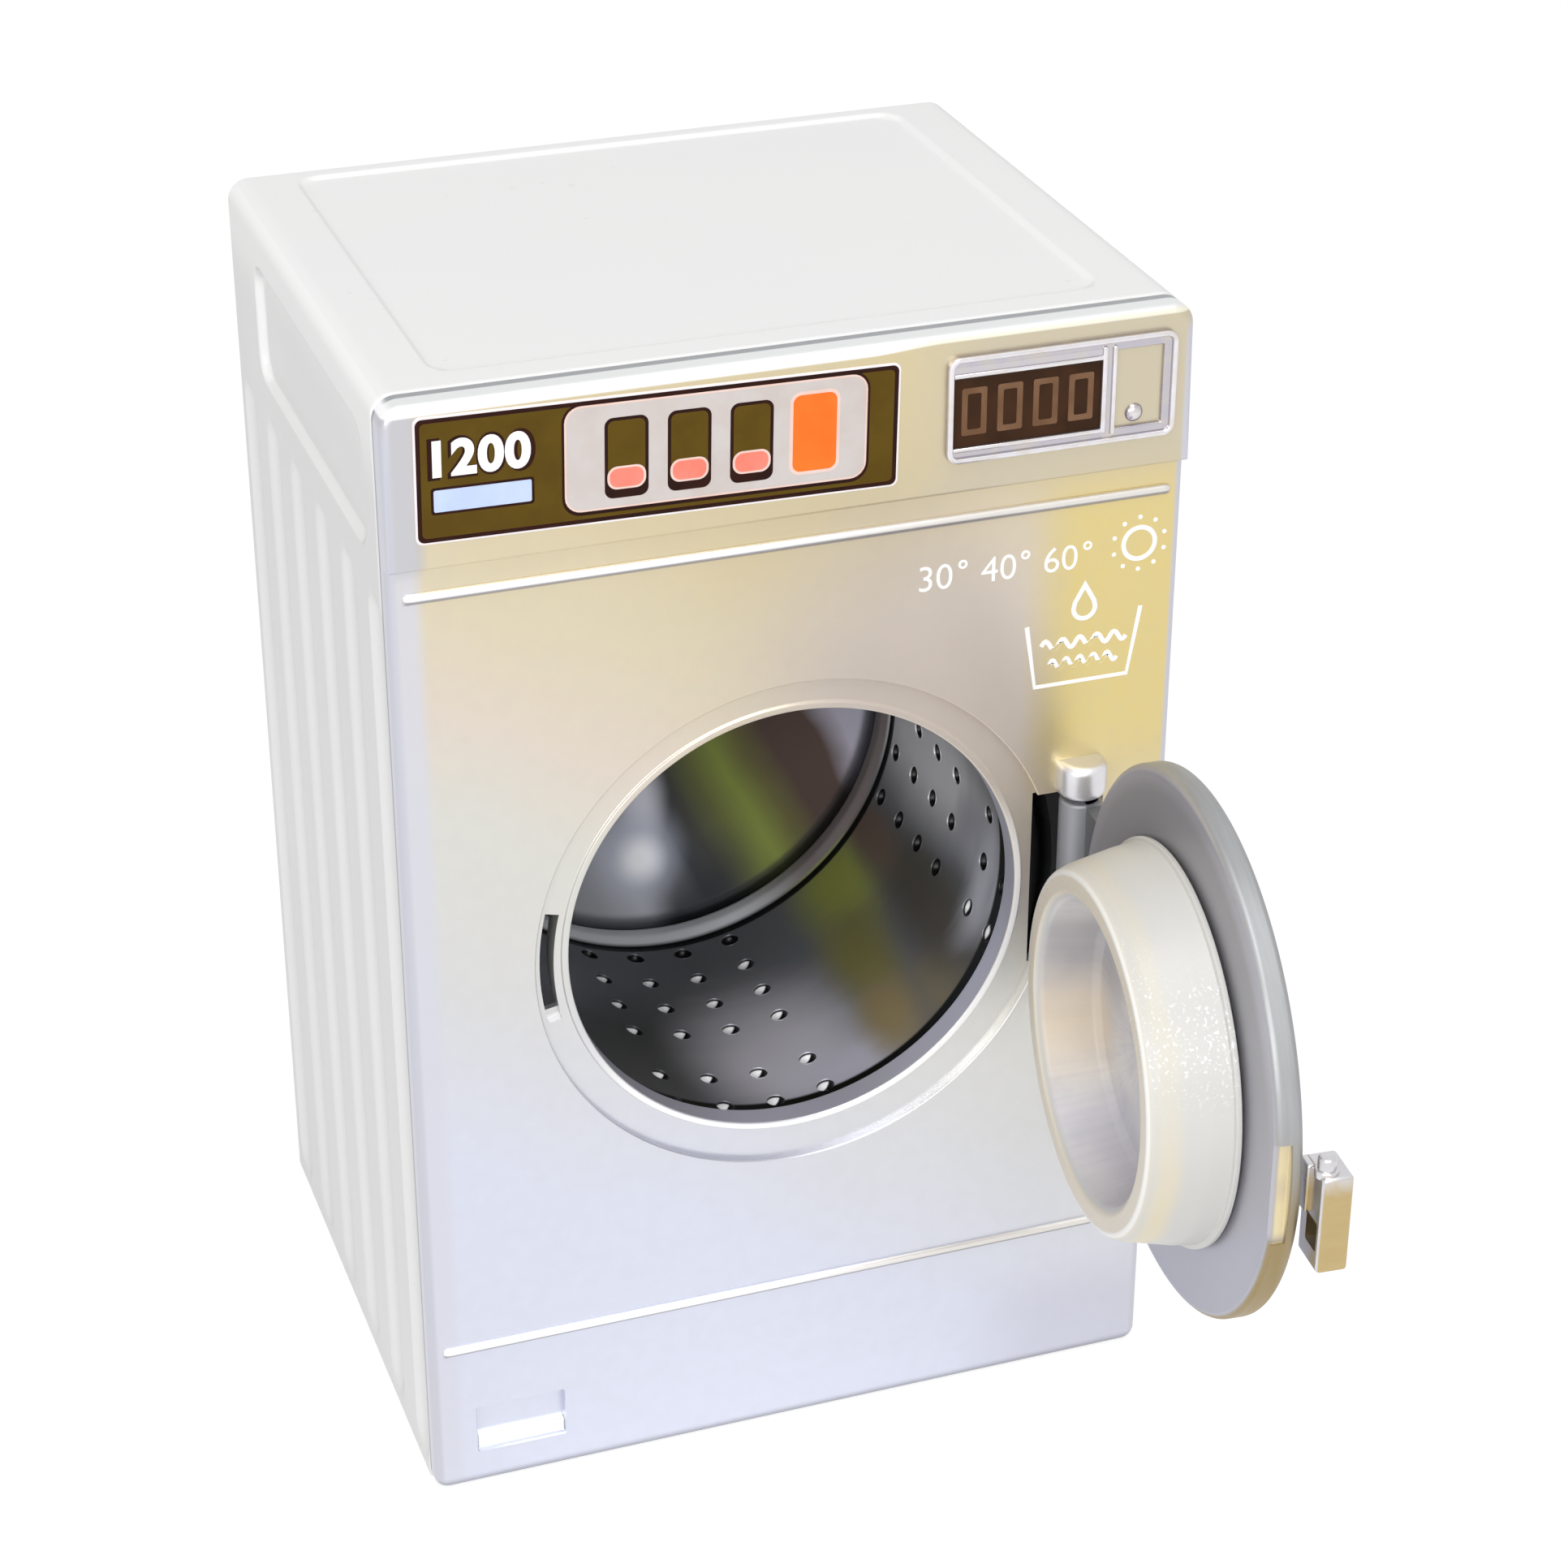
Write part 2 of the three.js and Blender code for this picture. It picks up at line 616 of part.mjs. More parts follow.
// Domed drum back with the hub that holds the spindle, about the Y axis.
function drumBack() {
  const rim = drumRadius - drumBeadRise;
  const arc = (depth, endRadius, steps) =>
    [...Array(steps + 1).keys()].map((i) => {
      const share = i / steps;
      return [endRadius * share, domeRimY + depth * Math.cos((share * Math.PI) / 2)];
    });
  const inside = arc(domeDepth, rim, domeSteps);
  const outside = arc(domeDepth + domeWall, rim, domeSteps)
    .filter(([radius]) => radius > hubRadius)
    .reverse();
  const borehole = spindleRadius + spindleGap;
  const profile = [
    ...inside,
    [drumOuterRadius, domeRimY],
    [drumOuterRadius, domeRimY + domeWall],
    ...outside.slice(1),
    [hubRadius, domeCentreY + domeWall / 2],
    [hubRadius, hubEndY],
    [borehole, hubEndY],
    [borehole, hubStartY],
    [0, hubStartY],
  ];
  return turned(profile, 0, 0, drumFacets);
}

// Tub round the drum: a cup with a bearing seat at the back and four lugs at the front.
function tub() {
  const centre = openingCentreHeight;
  const seat = bushRadius + seatGap;
  const backEnd = tubBackY + tubBackThickness;
  const profile = [
    [tubInnerRadius, tubFrontY],
    [tubOuterRadius, tubFrontY],
    [tubOuterRadius, backEnd],
    [seat + tubWall, backEnd],
    [seat + tubWall, tubBackY + bushLength],
    [seat, tubBackY + bushLength],
    [seat, tubBackY],
    [tubInnerRadius, tubBackY],
    [tubInnerRadius, tubFrontY],
  ];
  const y0 = panelBackY + lugFromPanel + seatGap;
  const lugs = lugPlaces().map(([x, z]) => {
    const toAxis = Math.atan2(z - centre, x);
    const bridgeFoot = tubInnerRadius + tubWall / 2;
    const bridgeRadius = (lugCentreRadius + bridgeFoot) / 2;
    const bridge = new THREE.BoxGeometry(lugCentreRadius - bridgeFoot, lugThickness, lugRadius * 2);
    bridge.translate(bridgeRadius, y0 + lugThickness / 2, 0).rotateY(-toAxis).translate(0, 0, centre);
    return join(rodY(x, z, lugRadius, y0, y0 + lugThickness), solidOf(bridge));
  });
  const holes = lugPlaces().map(([x, z]) =>
    rodY(x, z, screwShankRadius + screwGap, y0 - 1, y0 + lugThickness + 1, 12),
  );
  return cut(join(turned(profile, 0, centre, drumFacets), ...lugs), ...holes);
}

// Plain bush for the spindle, about the Y axis.
function bearingBush() {
  return ring(0, 0, spindleRadius + spindleGap, bushRadius, tubBackY, tubBackY + bushLength, smallFacets);
}

// Spindle from the drum's hub through the bush to the clip, about the Y axis.
function drumSpindle() {
  return rodY(0, 0, spindleRadius, hubStartY + seatGap, spindleEndY, smallFacets);
}

// Push-on clip that keeps the spindle in its bush, about the Y axis.
function spindleClip() {
  const end = clipStartY + clipThickness;
  return ring(0, 0, spindleRadius + spindleGap, clipRadius, clipStartY, end, smallFacets);
}

// Door disc in its closed place, measured from the hinge axis.
function doorDisc() {
  const { centreX, centreZ, innerY, outerY } = closedDoor();
  const disc = rodY(centreX, centreZ, doorRadius, outerY, innerY, roundFacets);
  const rimRing = ring(
    centreX,
    centreZ,
    portholeRadius,
    portholeRadius + portholeRimWidth,
    outerY - portholeRimProud,
    outerY + 0.3,
  );
  const porthole = rodY(centreX, centreZ, portholeRadius, outerY - 1, innerY + 1, roundFacets);
  const flatX = centreX - latchFlatReach;
  const flatZ = centreZ - latchFlatBelowCentre;
  const flat = block(flatX - 2, flatX, innerY - latchFlatDepth, innerY + 1, flatZ, flatZ + latchFlatHeight);
  const knuckleZ = hingeSlotHeight / 2 - knuckleEndGap;
  const middle = openingCentreHeight;
  const knuckle = rodZ(0, 0, knuckleRadius, middle - knuckleZ, middle + knuckleZ);
  const arm = block(
    centreX + doorRadius * 0.9,
    0,
    outerY + armSetBack,
    innerY - armSetBack,
    middle - knuckleZ,
    middle + knuckleZ,
  );
  const bore = rodZ(0, 0, pinRadius + pinGap, middle - cabinetHeight, middle + cabinetHeight, 16);
  return cut(join(cut(disc, porthole, flat), cut(rimRing, porthole), knuckle, arm), bore);
}

// The closed door's centre and faces, measured from the hinge axis.
function closedDoor() {
  const innerY = hingeForward - doorStandOff;
  return {
    centreX: -hingeOffset,
    centreZ: openingCentreHeight - doorDrop,
    innerY,
    outerY: innerY - doorThickness,
  };
}

// Clear bowl: a window in the porthole and a tapered cup towards the drum.
function doorBowl() {
  const { centreX, centreZ, innerY, outerY } = closedDoor();
  const window = portholeRadius - seatGap;
  const base = innerY + seatGap;
  const end = innerY + bowlLength;
  const profile = [
    [0, outerY],
    [window, outerY],
    [window, base],
    [bowlBaseRadius, base],
    [bowlEndRadius, end - bowlEndRounding],
    [bowlEndRadius - bowlEndRounding * 0.35, end - bowlEndRounding * 0.25],
    [bowlEndRadius - bowlEndRounding, end],
    [bowlRimRadius, end],
    [bowlFloorRadius, end - bowlFloorDepth],
    [0, end - bowlFloorDepth],
  ];
  return turned(profile, centreX, centreZ);
}

// Handle: an upright block off the latch edge, notched for a fingertip, with a peg on top.
function doorHandle() {
  const { centreX, centreZ, outerY } = closedDoor();
  const x0 = centreX - handleReach;
  const x1 = x0 + handleWidth;
  const y1 = outerY - handleFoot;
  const y0 = y1 - handleThickness;
  const z0 = centreZ - handleBelowCentre;
  const z1 = z0 + handleHeight;
  const body = block(x0, x1, y0, y1, z0, z1);
  const footX = centreX - doorRadius + 0.35;
  const foot = block(footX, x1, y1 - 0.2, outerY - seatGap, z0 + handleHeight / 2, z1);
  const notchZ = z0 + gripNotchFromFoot;
  const notch = block(x0 + 0.4, x0 + 0.4 + gripNotchWidth, y0 + 0.6, y1 + 1, notchZ, notchZ + gripNotchHeight);
  const pegY = (y0 + y1) / 2 + handlePegSetBack;
  const peg = rodZ(x0 + handlePegFromSide, pegY, handlePegRadius, z1 - 0.5, z1 + handlePegHeight, 12);
  return join(cut(body, notch), foot, peg);
}

// Hinge pin from the lower ear's foot to the blind bore in the upper ear.
function hingePin() {
  const bottom = hingeSlotBottom - earHeight + 0.2;
  return rodZ(0, 0, pinRadius, bottom, hingeSlotTop + pinBlindDepth - pinGap, 16);
}

// A thin printed sticker on the fascia's left, and the display inside the bezel.
function controlSticker() {
  const x0 = -halfWidth + stickerFromSide;
  const x1 = bezelBox().x0 - stickerToBezel;
  const z1 = cabinetHeight - stickerBelowTop;
  const outline = roundedOutline(x0, x1, z1 - stickerHeight, z1, stickerRadius);
  return slab(outline, fasciaY - stickerThickness, fasciaY);
}

function displayPlate() {
  const { x0, x1, z0, z1 } = displayBox();
  return block(x0, x1, fasciaY - displayThickness, fasciaY, z0, z1);
}

// A slotted pan-head screw along Y, with its head's underside at the origin and its head behind.
function screw(length) {
  const shank = rodY(0, 0, screwShankRadius, -length, 0.1, 12);
  const head = rodY(0, 0, screwHeadRadius, 0, screwHeadHeight, 16, screwHeadRadius * 0.8);
  const half = screwSlotWidth / 2;
  const slotFloor = screwHeadHeight - screwSlotDepth;
  const slot = block(-screwHeadRadius, screwHeadRadius, slotFloor, screwHeadHeight + 1, -half, half);
  return cut(join(shank, head), slot);
}

// Materials
const finish = (color, roughness, metalness, extra = {}) =>
  new THREE.MeshStandardMaterial({ color, roughness, metalness, ...extra });
const metallisedSilver = () => finish(0xd6d4d2, 0.28, 0.85);
const whitePlastic = () => finish(0xeeefee, 0.5, 0);
const darkChrome = () => finish(0x3c4044, 0.15, 0.95);
const doorGrey = () => finish(0x8f8f94, 0.35, 0.6);
const clearPlastic = () => finish(0xf4f2ec, 0.2, 0, { transparent: true, opacity: 0.55 });
const steel = () => finish(0xb8bcc0, 0.3, 1);
const darkPlastic = () => finish(0x2a2b2d, 0.6, 0);
const stickerPrint = () => finish(0x5a4510, 0.45, 0);
const displayPrint = () => finish(0x4a2a10, 0.35, 0);

function addMesh(group, name, solid, material) {
  const mesh = new THREE.Mesh(geometryOf(solid), material);
  mesh.name = name;
  group.add(mesh);
  return mesh;
}

// Assembly
const washingMachine = new THREE.Group();
addMesh(washingMachine, "front_panel", frontPanel(), metallisedSilver());
addMesh(washingMachine, "cabinet_shell", cabinetShell(), whitePlastic());
addMesh(washingMachine, "back_cover", backCover(), whitePlastic());
addMesh(washingMachine, "base_plate", basePlate(), whitePlastic());
addMesh(washingMachine, "control_sticker", controlSticker(), stickerPrint());
addMesh(washingMachine, "display_plate", displayPlate(), displayPrint());
addMesh(washingMachine, "tub", tub(), darkPlastic());

const tubScrewY = panelBackY + lugFromPanel + seatGap + lugThickness + seatGap;
lugPlaces().forEach(([x, z], i) => {
  const mesh = addMesh(washingMachine, `tub_screw_${i + 1}`, screw(tubScrewLength), steel());
  mesh.position.set(x, tubScrewY, z);
});
coverPostPlaces().forEach(([x, z], i) => {
  const mesh = addMesh(washingMachine, `back_screw_${i + 1}`, screw(coverScrewLength), steel());
  mesh.position.set(x, backY - backSetIn + seatGap, z);
});

const drumGroup = new THREE.Group();
drumGroup.position.z = openingCentreHeight;
washingMachine.add(drumGroup);
addMesh(drumGroup, "drum_shell", drumShell(), darkChrome());
addMesh(drumGroup, "drum_back", drumBack(), darkChrome());
addMesh(drumGroup, "drum_spindle", drumSpindle(), steel());
addMesh(drumGroup, "spindle_clip", spindleClip(), steel());
addMesh(drumGroup, "bearing_bush", bearingBush(), darkPlastic());

const hingeGroup = new THREE.Group();
hingeGroup.position.set(hingeX, hingeY, 0);
washingMachine.add(hingeGroup);
addMesh(hingeGroup, "hinge_pin", hingePin(), steel());
const doorGroup = new THREE.Group();
doorGroup.rotation.z = doorOpenAngle * degrees;
hingeGroup.add(doorGroup);
addMesh(doorGroup, "door_disc", doorDisc(), doorGrey());
addMesh(doorGroup, "door_bowl", doorBowl(), clearPlastic());
addMesh(doorGroup, "door_handle", doorHandle(), metallisedSilver());

export default washingMachine;
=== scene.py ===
import math

import bmesh
import bpy
import numpy as np
from mathutils import Matrix, Vector
from mathutils.geometry import tessellate_polygon


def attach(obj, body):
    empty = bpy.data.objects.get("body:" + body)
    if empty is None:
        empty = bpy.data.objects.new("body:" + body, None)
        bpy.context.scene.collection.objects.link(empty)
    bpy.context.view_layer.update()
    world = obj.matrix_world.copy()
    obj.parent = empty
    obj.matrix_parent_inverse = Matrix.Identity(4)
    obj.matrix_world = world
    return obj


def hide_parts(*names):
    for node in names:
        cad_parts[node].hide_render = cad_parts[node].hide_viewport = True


# A dollhouse front-loading washing machine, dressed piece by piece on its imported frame.
# Shapes are worked out in millimetres and made small at the end: X to the right, Y to the back, Z up.
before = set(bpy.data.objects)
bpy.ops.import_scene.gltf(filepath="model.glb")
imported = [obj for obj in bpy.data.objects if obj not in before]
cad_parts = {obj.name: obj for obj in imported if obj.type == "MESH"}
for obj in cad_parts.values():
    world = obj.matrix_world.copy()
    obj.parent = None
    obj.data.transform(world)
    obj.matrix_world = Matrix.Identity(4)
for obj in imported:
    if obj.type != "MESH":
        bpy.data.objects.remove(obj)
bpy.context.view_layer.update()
scene = bpy.context.scene
millimetre = 0.001
print("frame loaded with", len(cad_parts), "nodes")


# Shapes are pairs of points and faces

def tidied(points, faces):
    # doubled points merged, faces turned outwards
    work = bmesh.new()
    made = [work.verts.new(p) for p in points]
    for face in faces:
        corners = [made[i] for i in face]
        if len(set(corners)) == len(corners):
            work.faces.new(corners)
    bmesh.ops.remove_doubles(work, verts=work.verts[:], dist=1e-4)
    bmesh.ops.recalc_face_normals(work, faces=work.faces[:])
    work.verts.index_update()
    shape = ([tuple(v.co) for v in work.verts], [[v.index for v in f.verts] for f in work.faces])
    work.free()
    return shape


def joined(*shapes):
    points, faces = [], []
    for morePoints, moreFaces in shapes:
        start = len(points)
        points.extend(morePoints)
        faces.extend([[i + start for i in face] for face in moreFaces])
    return points, faces


def placed(shape, matrix):
    return [tuple(matrix @ Vector(p)) for p in shape[0]], shape[1]


def filleted(corners, steps=6, closed=True):
    # corners are (u, v) or (u, v, radius); the ones with a radius come back as arcs
    result = []
    count = len(corners)
    for i, corner in enumerate(corners):
        here = Vector(corner[:2])
        radius = corner[2] if len(corner) > 2 else 0
        if not radius or (not closed and i in (0, count - 1)):
            result.append(tuple(here))
            continue
        toLast = (Vector(corners[i - 1][:2]) - here).normalized()
        toNext = (Vector(corners[(i + 1) % count][:2]) - here).normalized()
        half = math.acos(max(-1.0, min(1.0, toLast.dot(toNext)))) / 2
        if half > math.pi / 2 - 0.01:
            result.append(tuple(here))
            continue
        centre = here + (toLast + toNext).normalized() * (radius / math.sin(half))
        arm = here + toLast * (radius / math.tan(half)) - centre
        end = here + toNext * (radius / math.tan(half)) - centre
        sweep = math.atan2(arm.x * end.y - arm.y * end.x, arm.dot(end))
        for k in range(steps + 1):
            c, s = math.cos(sweep * k / steps), math.sin(sweep * k / steps)
            result.append(tuple(centre + Vector((arm.x * c - arm.y * s, arm.x * s + arm.y * c))))
    return result


def roundedRectangle(u0, u1, v0, v1, radius, steps=6):
    return filleted([(u0, v0, radius), (u1, v0, radius), (u1, v1, radius), (u0, v1, radius)], steps)


def arcPoints(u, v, radius, start, end, count):
    angles = [math.radians(start + (end - start) * k / count) for k in range(count + 1)]
    return [(u + radius * math.cos(a), v + radius * math.sin(a)) for a in angles]


def circlePoints(u, v, radius, count=64):
    return arcPoints(u, v, radius, 0, 360, count)[:-1]


def lathe(profile, centre=(0, 0), turns=144, closed=True):
    # a profile of (radius, y) turned about a line along Y through centre
    count = len(profile)
    points, faces = [], []
    for i in range(turns):
        a = 2 * math.pi * i / turns
        points += [(centre[0] + r * math.sin(a), y, centre[1] + r * math.cos(a)) for r, y in profile]
    for i in range(turns):
        here, there = i * count, (i + 1) % turns * count
        for k in range(count if closed else count - 1):
            n = (k + 1) % count
            faces.append((here + k, here + n, there + n, there + k))
    return tidied(points, faces)


def uprightLathe(profile, x, y, turns=48):
    # a profile of (radius, z) turned about an upright line
    upright = Matrix(((1, 0, 0, x), (0, 0, -1, y), (0, 1, 0, 0), (0, 0, 0, 1)))
    return tidied(*placed(lathe(profile, (0, 0), turns), upright))


def loopArea(loop):
    return sum(a[0] * b[1] - b[0] * a[1] for a, b in zip(loop, loop[1:] + loop[:1])) / 2


def inset(loop, distances):
    # each point moved to the left of the way round, by its own distance
    moved = []
    count = len(loop)
    for i in range(count):
        before, here, after = (Vector(loop[(i + k) % count]) for k in (-1, 0, 1))
        first, second = (here - before).normalized(), (after - here).normalized()
        left, right = Vector((-first.y, first.x)), Vector((-second.y, second.x))
        moved.append(here + (left + right) / max(0.4, 1 + left.dot(right)) * distances[i])
    return moved


def plate(outline, back, front, rim=0.2, holes=(), holeRim=0.1, steps=5, bothEnds=False, upright=False):
    # a flat piece with rounded edges; rim may be a number or a rule on (u, v)
    direction = 1 if front > back else -1
    points, faces, frontLoops, frontIds, backIds = [], [], [], [], []
    for number, loop in enumerate([outline, *holes]):
        loop = [tuple(p[:2]) for p in loop]
        if (loopArea(loop) > 0) != (number == 0):
            loop = loop[::-1]
        edge = rim if number == 0 else holeRim
        rims = [edge(u, v) if callable(edge) else edge for u, v in loop]
        rings = [(1 - math.cos(a), 1 - math.sin(a), 1) for a in np.linspace(0, math.pi / 2, steps + 1)]
        if bothEnds:
            rings = [(s, w, 0) for s, w, _ in rings[::-1]] + rings
        else:
            rings = [(0, 0, 0)] + rings
        start, count = len(points), len(loop)
        for share, rise, atFront in rings:
            moved = inset(loop, [share * r for r in rims])
            for p, r in zip(moved, rims):
                w = front - direction * rise * r if atFront else back + direction * rise * r
                points.append((p.x, p.y, w) if upright else (p.x, w, p.y))
            last = moved
        frontLoops.append([Vector((p.x, p.y, 0)) for p in last])
        backIds += range(start, start + count)
        frontIds += range(start + (len(rings) - 1) * count, start + len(rings) * count)
        for k in range(len(rings) - 1):
            low, high = start + k * count, start + (k + 1) * count
            for i in range(count):
                n = (i + 1) % count
                faces.append((low + i, low + n, high + n, high + i))
    for triangle in tessellate_polygon(frontLoops):
        faces.append([frontIds[i] for i in triangle])
        faces.append([backIds[i] for i in reversed(triangle)])
    return tidied(points, faces)


def ribbon(path, width, back, front, closed=False):
    # a flat printed line of even width along a path of (x, z)
    half = width / 2
    if closed:
        edges = [[tuple(p) for p in inset(path, [way * half] * len(path))] for way in (1, -1)]
        inner, outer = sorted(edges, key=lambda edge: abs(loopArea(edge)))
        return plate(outer, back, front, 0.005, [inner], 0.005, 1)
    sides = []
    for sign in (1, -1):
        side = []
        for i, p in enumerate(path):
            before, after = Vector(path[max(0, i - 1)]), Vector(path[min(len(path) - 1, i + 1)])
            along = (after - before).normalized()
            side.append(tuple(Vector(p) + Vector((-along.y, along.x)) * half * sign))
        sides.append(side)
    return plate(sides[1] + sides[0][::-1], back, front, 0.005, (), 0, 1)


def roundedBox(x0, x1, y0, y1, z0, z1, radius=0.2, steps=3):
    work = bmesh.new()
    bmesh.ops.create_cube(work, size=1)
    for v in work.verts:
        v.co = Vector(((x0 + x1) / 2 + v.co.x * (x1 - x0), (y0 + y1) / 2 + v.co.y * (y1 - y0),
                       (z0 + z1) / 2 + v.co.z * (z1 - z0)))
    bmesh.ops.bevel(work, geom=work.edges[:], offset=radius, segments=steps, profile=0.5, affect="EDGES")
    work.verts.index_update()
    shape = ([tuple(v.co) for v in work.verts], [[v.index for v in f.verts] for f in work.faces])
    work.free()
    return tidied(*shape)


def crossBead(x0, x1, z, faceY, halfWidth, proud, endLength, turns=24, steps=8):
    # a bead along X, half round in section, whose ends run out into the face
    stations = []
    for k in range(steps + 1):
        a = math.pi / 2 * k / steps
        stations.append((x0 + endLength * (1 - math.cos(a)), math.sin(a)))
    stations += [(x0 + x1 - x, size) for x, size in reversed(stations)]
    profile = [(halfWidth * size, x) for x, size in stations]
    turned = lathe(profile, (0, 0), turns, closed=False)
    lying = Matrix(((0, 1, 0, 0), (proud / halfWidth, 0, 0, faceY), (0, 0, 1, z), (0, 0, 0, 1)))
    return tidied(*placed(turned, lying))


def rawObject(name, shape):
    mesh = bpy.data.meshes.new(name)
    mesh.from_pydata(shape[0], [], shape[1])
    obj = bpy.data.objects.new(name, mesh)
    scene.collection.objects.link(obj)
    return obj


def evaluatedMesh(obj):
    # the modifiers' result as a plain mesh, with the object taken away
    depsgraph = bpy.context.evaluated_depsgraph_get()
    mesh = bpy.data.meshes.new_from_object(obj.evaluated_get(depsgraph), depsgraph=depsgraph)
    bpy.data.objects.remove(obj)
    return mesh


def shapeOf(mesh):
    return [tuple(v.co) for v in mesh.vertices], [list(p.vertices) for p in mesh.polygons]


def carved(shape, *cutters):
    obj = rawObject("carved", shape)
    tools = []
    for cutter in cutters:
        tool = rawObject("cutter", cutter)
        tools.append(tool)
        cut = obj.modifiers.new("cut", "BOOLEAN")
        cut.operation, cut.solver, cut.object = "DIFFERENCE", "EXACT", tool
    mesh = evaluatedMesh(obj)
    for tool in tools:
        bpy.data.objects.remove(tool)
    return tidied(*shapeOf(mesh))


def finished(name, mesh, material, body, standsFor=(), crease=32, place=None, weighted=True):
    # a mesh in millimetres becomes a piece of the machine
    if place is not None:
        mesh.transform(place)
    mesh.transform(Matrix.Scale(millimetre, 4))
    if material is not None:
        mesh.materials.clear()
        mesh.materials.append(material)
    obj = bpy.data.objects.new(name, mesh)
    scene.collection.objects.link(obj)
    if weighted:
        mesh.shade_smooth()
        mesh.set_sharp_from_angle(angle=math.radians(crease))
        even = obj.modifiers.new("even", "WEIGHTED_NORMAL")
        even.keep_sharp = True
        even.weight = 90
        depsgraph = bpy.context.evaluated_depsgraph_get()
        better = bpy.data.meshes.new_from_object(obj.evaluated_get(depsgraph), depsgraph=depsgraph)
        obj.modifiers.clear()
        obj.data = better
    obj.data.name = name
    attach(obj, body)
    if standsFor:
        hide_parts(*standsFor)
    return obj


def piece(name, shape, material, body="cabinet", standsFor=(), crease=32, place=None):
    mesh = bpy.data.meshes.new(name)
    mesh.from_pydata(shape[0], [], shape[1])
    return finished(name, mesh, material, body, standsFor, crease, place)


# Node trees

class Wire:
    # one output socket; sums on it add their own Math nodes
    def __init__(self, graph, socket):
        self.graph = graph
        self.socket = socket

    def __add__(self, other):
        return self.graph.math("ADD", self, other)

    def __radd__(self, other):
        return self.graph.math("ADD", other, self)

    def __sub__(self, other):
        return self.graph.math("SUBTRACT", self, other)

    def __rsub__(self, other):
        return self.graph.math("SUBTRACT", other, self)

    def __mul__(self, other):
        return self.graph.math("MULTIPLY", self, other)

    def __rmul__(self, other):
        return self.graph.math("MULTIPLY", other, self)

    def __truediv__(self, other):
        return self.graph.math("DIVIDE", self, other)

    def __rtruediv__(self, other):
        return self.graph.math("DIVIDE", other, self)

    def __pow__(self, other):
        return self.graph.math("POWER", self, other)

    def __rpow__(self, other):
        return self.graph.math("POWER", other, self)


class Graph:
    def __init__(self, tree):
        self.tree = tree

    def node(self, kind, settings=None, values=None, output=0):
        # gives the wire of one output, or nothing where a node has none
        made = self.tree.nodes.new(kind)
        for key, value in (settings or {}).items():
            if key == "stops":
                ramp = made.color_ramp
                while len(ramp.elements) > 1:
                    ramp.elements.remove(ramp.elements[-1])
                ramp.elements[0].position, ramp.elements[0].color = value[0]
                for position, colour in value[1:]:
                    ramp.elements.new(position).color = colour
            else:
                setattr(made, key, value)
        for key, value in (values or {}).items():
            if isinstance(value, Wire):
                self.tree.links.new(value.socket, made.inputs[key])
            else:
                made.inputs[key].default_value = value
        return Wire(self, made.outputs[output]) if made.outputs else None

    def outputs(self, wire, labels):
        # more outputs of the node that a wire comes from
        return [Wire(self, wire.socket.node.outputs[label]) for label in labels]

    def math(self, operation, first, second=None):
        values = {0: first} if second is None else {0: first, 1: second}
        return self.node("ShaderNodeMath", {"operation": operation}, values)

    def larger(self, first, second):
        return self.math("MAXIMUM", first, second)

    def smaller(self, first, second):
        return self.math("MINIMUM", first, second)

    def step(self, value, low, high):
        # 0 below low, 1 above high, with a soft change between
        return self.node("ShaderNodeMapRange", {"interpolation_type": "SMOOTHSTEP"},
                         {"Value": value, "From Min": low, "From Max": high, "To Min": 0.0, "To Max": 1.0})

    def band(self, value, rise, fall):
        # rises over one pair of values and falls again over the other
        return self.step(value, *rise) * self.step(value, fall[1], fall[0])

    def within(self, value, outer, inner):
        # 1 while the value is nearer to zero than inner, 0 beyond outer
        return self.step(self.math("ABSOLUTE", value), outer, inner)

    def length(self, first, second):
        return self.math("SQRT", first * first + second * second)

    def blend(self, factor, first, second):
        return self.node("ShaderNodeMix", {"data_type": "RGBA"}, {0: factor, 6: first, 7: second}, 2)

    def tint(self, base, mask, code):
        # a colour laid over the base where the mask is 1
        return self.blend(mask, base, paint(code))

    def mixed(self, factor, firstCode, secondCode):
        return self.blend(factor, paint(firstCode), paint(secondCode))

    def ramp(self, tones, value):
        stops = [(position, paint(code)) for position, code in tones]
        return self.node("ShaderNodeValToRGB", {"stops": stops}, {0: value})

    def parts(self, vector):
        return self.outputs(self.node("ShaderNodeSeparateXYZ", None, {0: vector}), range(3))

    def vector(self, x, y, z):
        return self.node("ShaderNodeCombineXYZ", None, {0: x, 1: y, 2: z})


def paint(code):
    # a colour from its usual six digits, in the linear values that shaders use
    parts = [int(code[i:i + 2], 16) / 255 for i in (0, 2, 4)]
    return (*[c / 12.92 if c <= 0.04045 else ((c + 0.055) / 1.055) ** 2.4 for c in parts], 1.0)


def geometryTree(name, inputs):
    # a new tree with named number inputs; gives its graph and the wires of its inputs
    tree = bpy.data.node_groups.new(name, "GeometryNodeTree")
    tree.interface.new_socket(name="Geometry", in_out="OUTPUT", socket_type="NodeSocketGeometry")
    tree.interface.new_socket(name="Geometry", in_out="INPUT", socket_type="NodeSocketGeometry")
    for label, value in inputs.items():
        kind = "NodeSocketInt" if isinstance(value, int) else "NodeSocketFloat"
        tree.interface.new_socket(name=label, in_out="INPUT", socket_type=kind)
    graph = Graph(tree)
    labels = ["Geometry", *inputs]
    return graph, dict(zip(labels, graph.outputs(graph.node("NodeGroupInput"), labels)))


def closeTree(graph, geometry, material):
    solid = graph.node("GeometryNodeRealizeInstances", None, {"Geometry": geometry})
    coated = graph.node("GeometryNodeSetMaterial", None, {"Geometry": solid, "Material": material})
    graph.node("NodeGroupOutput", None, {0: coated})


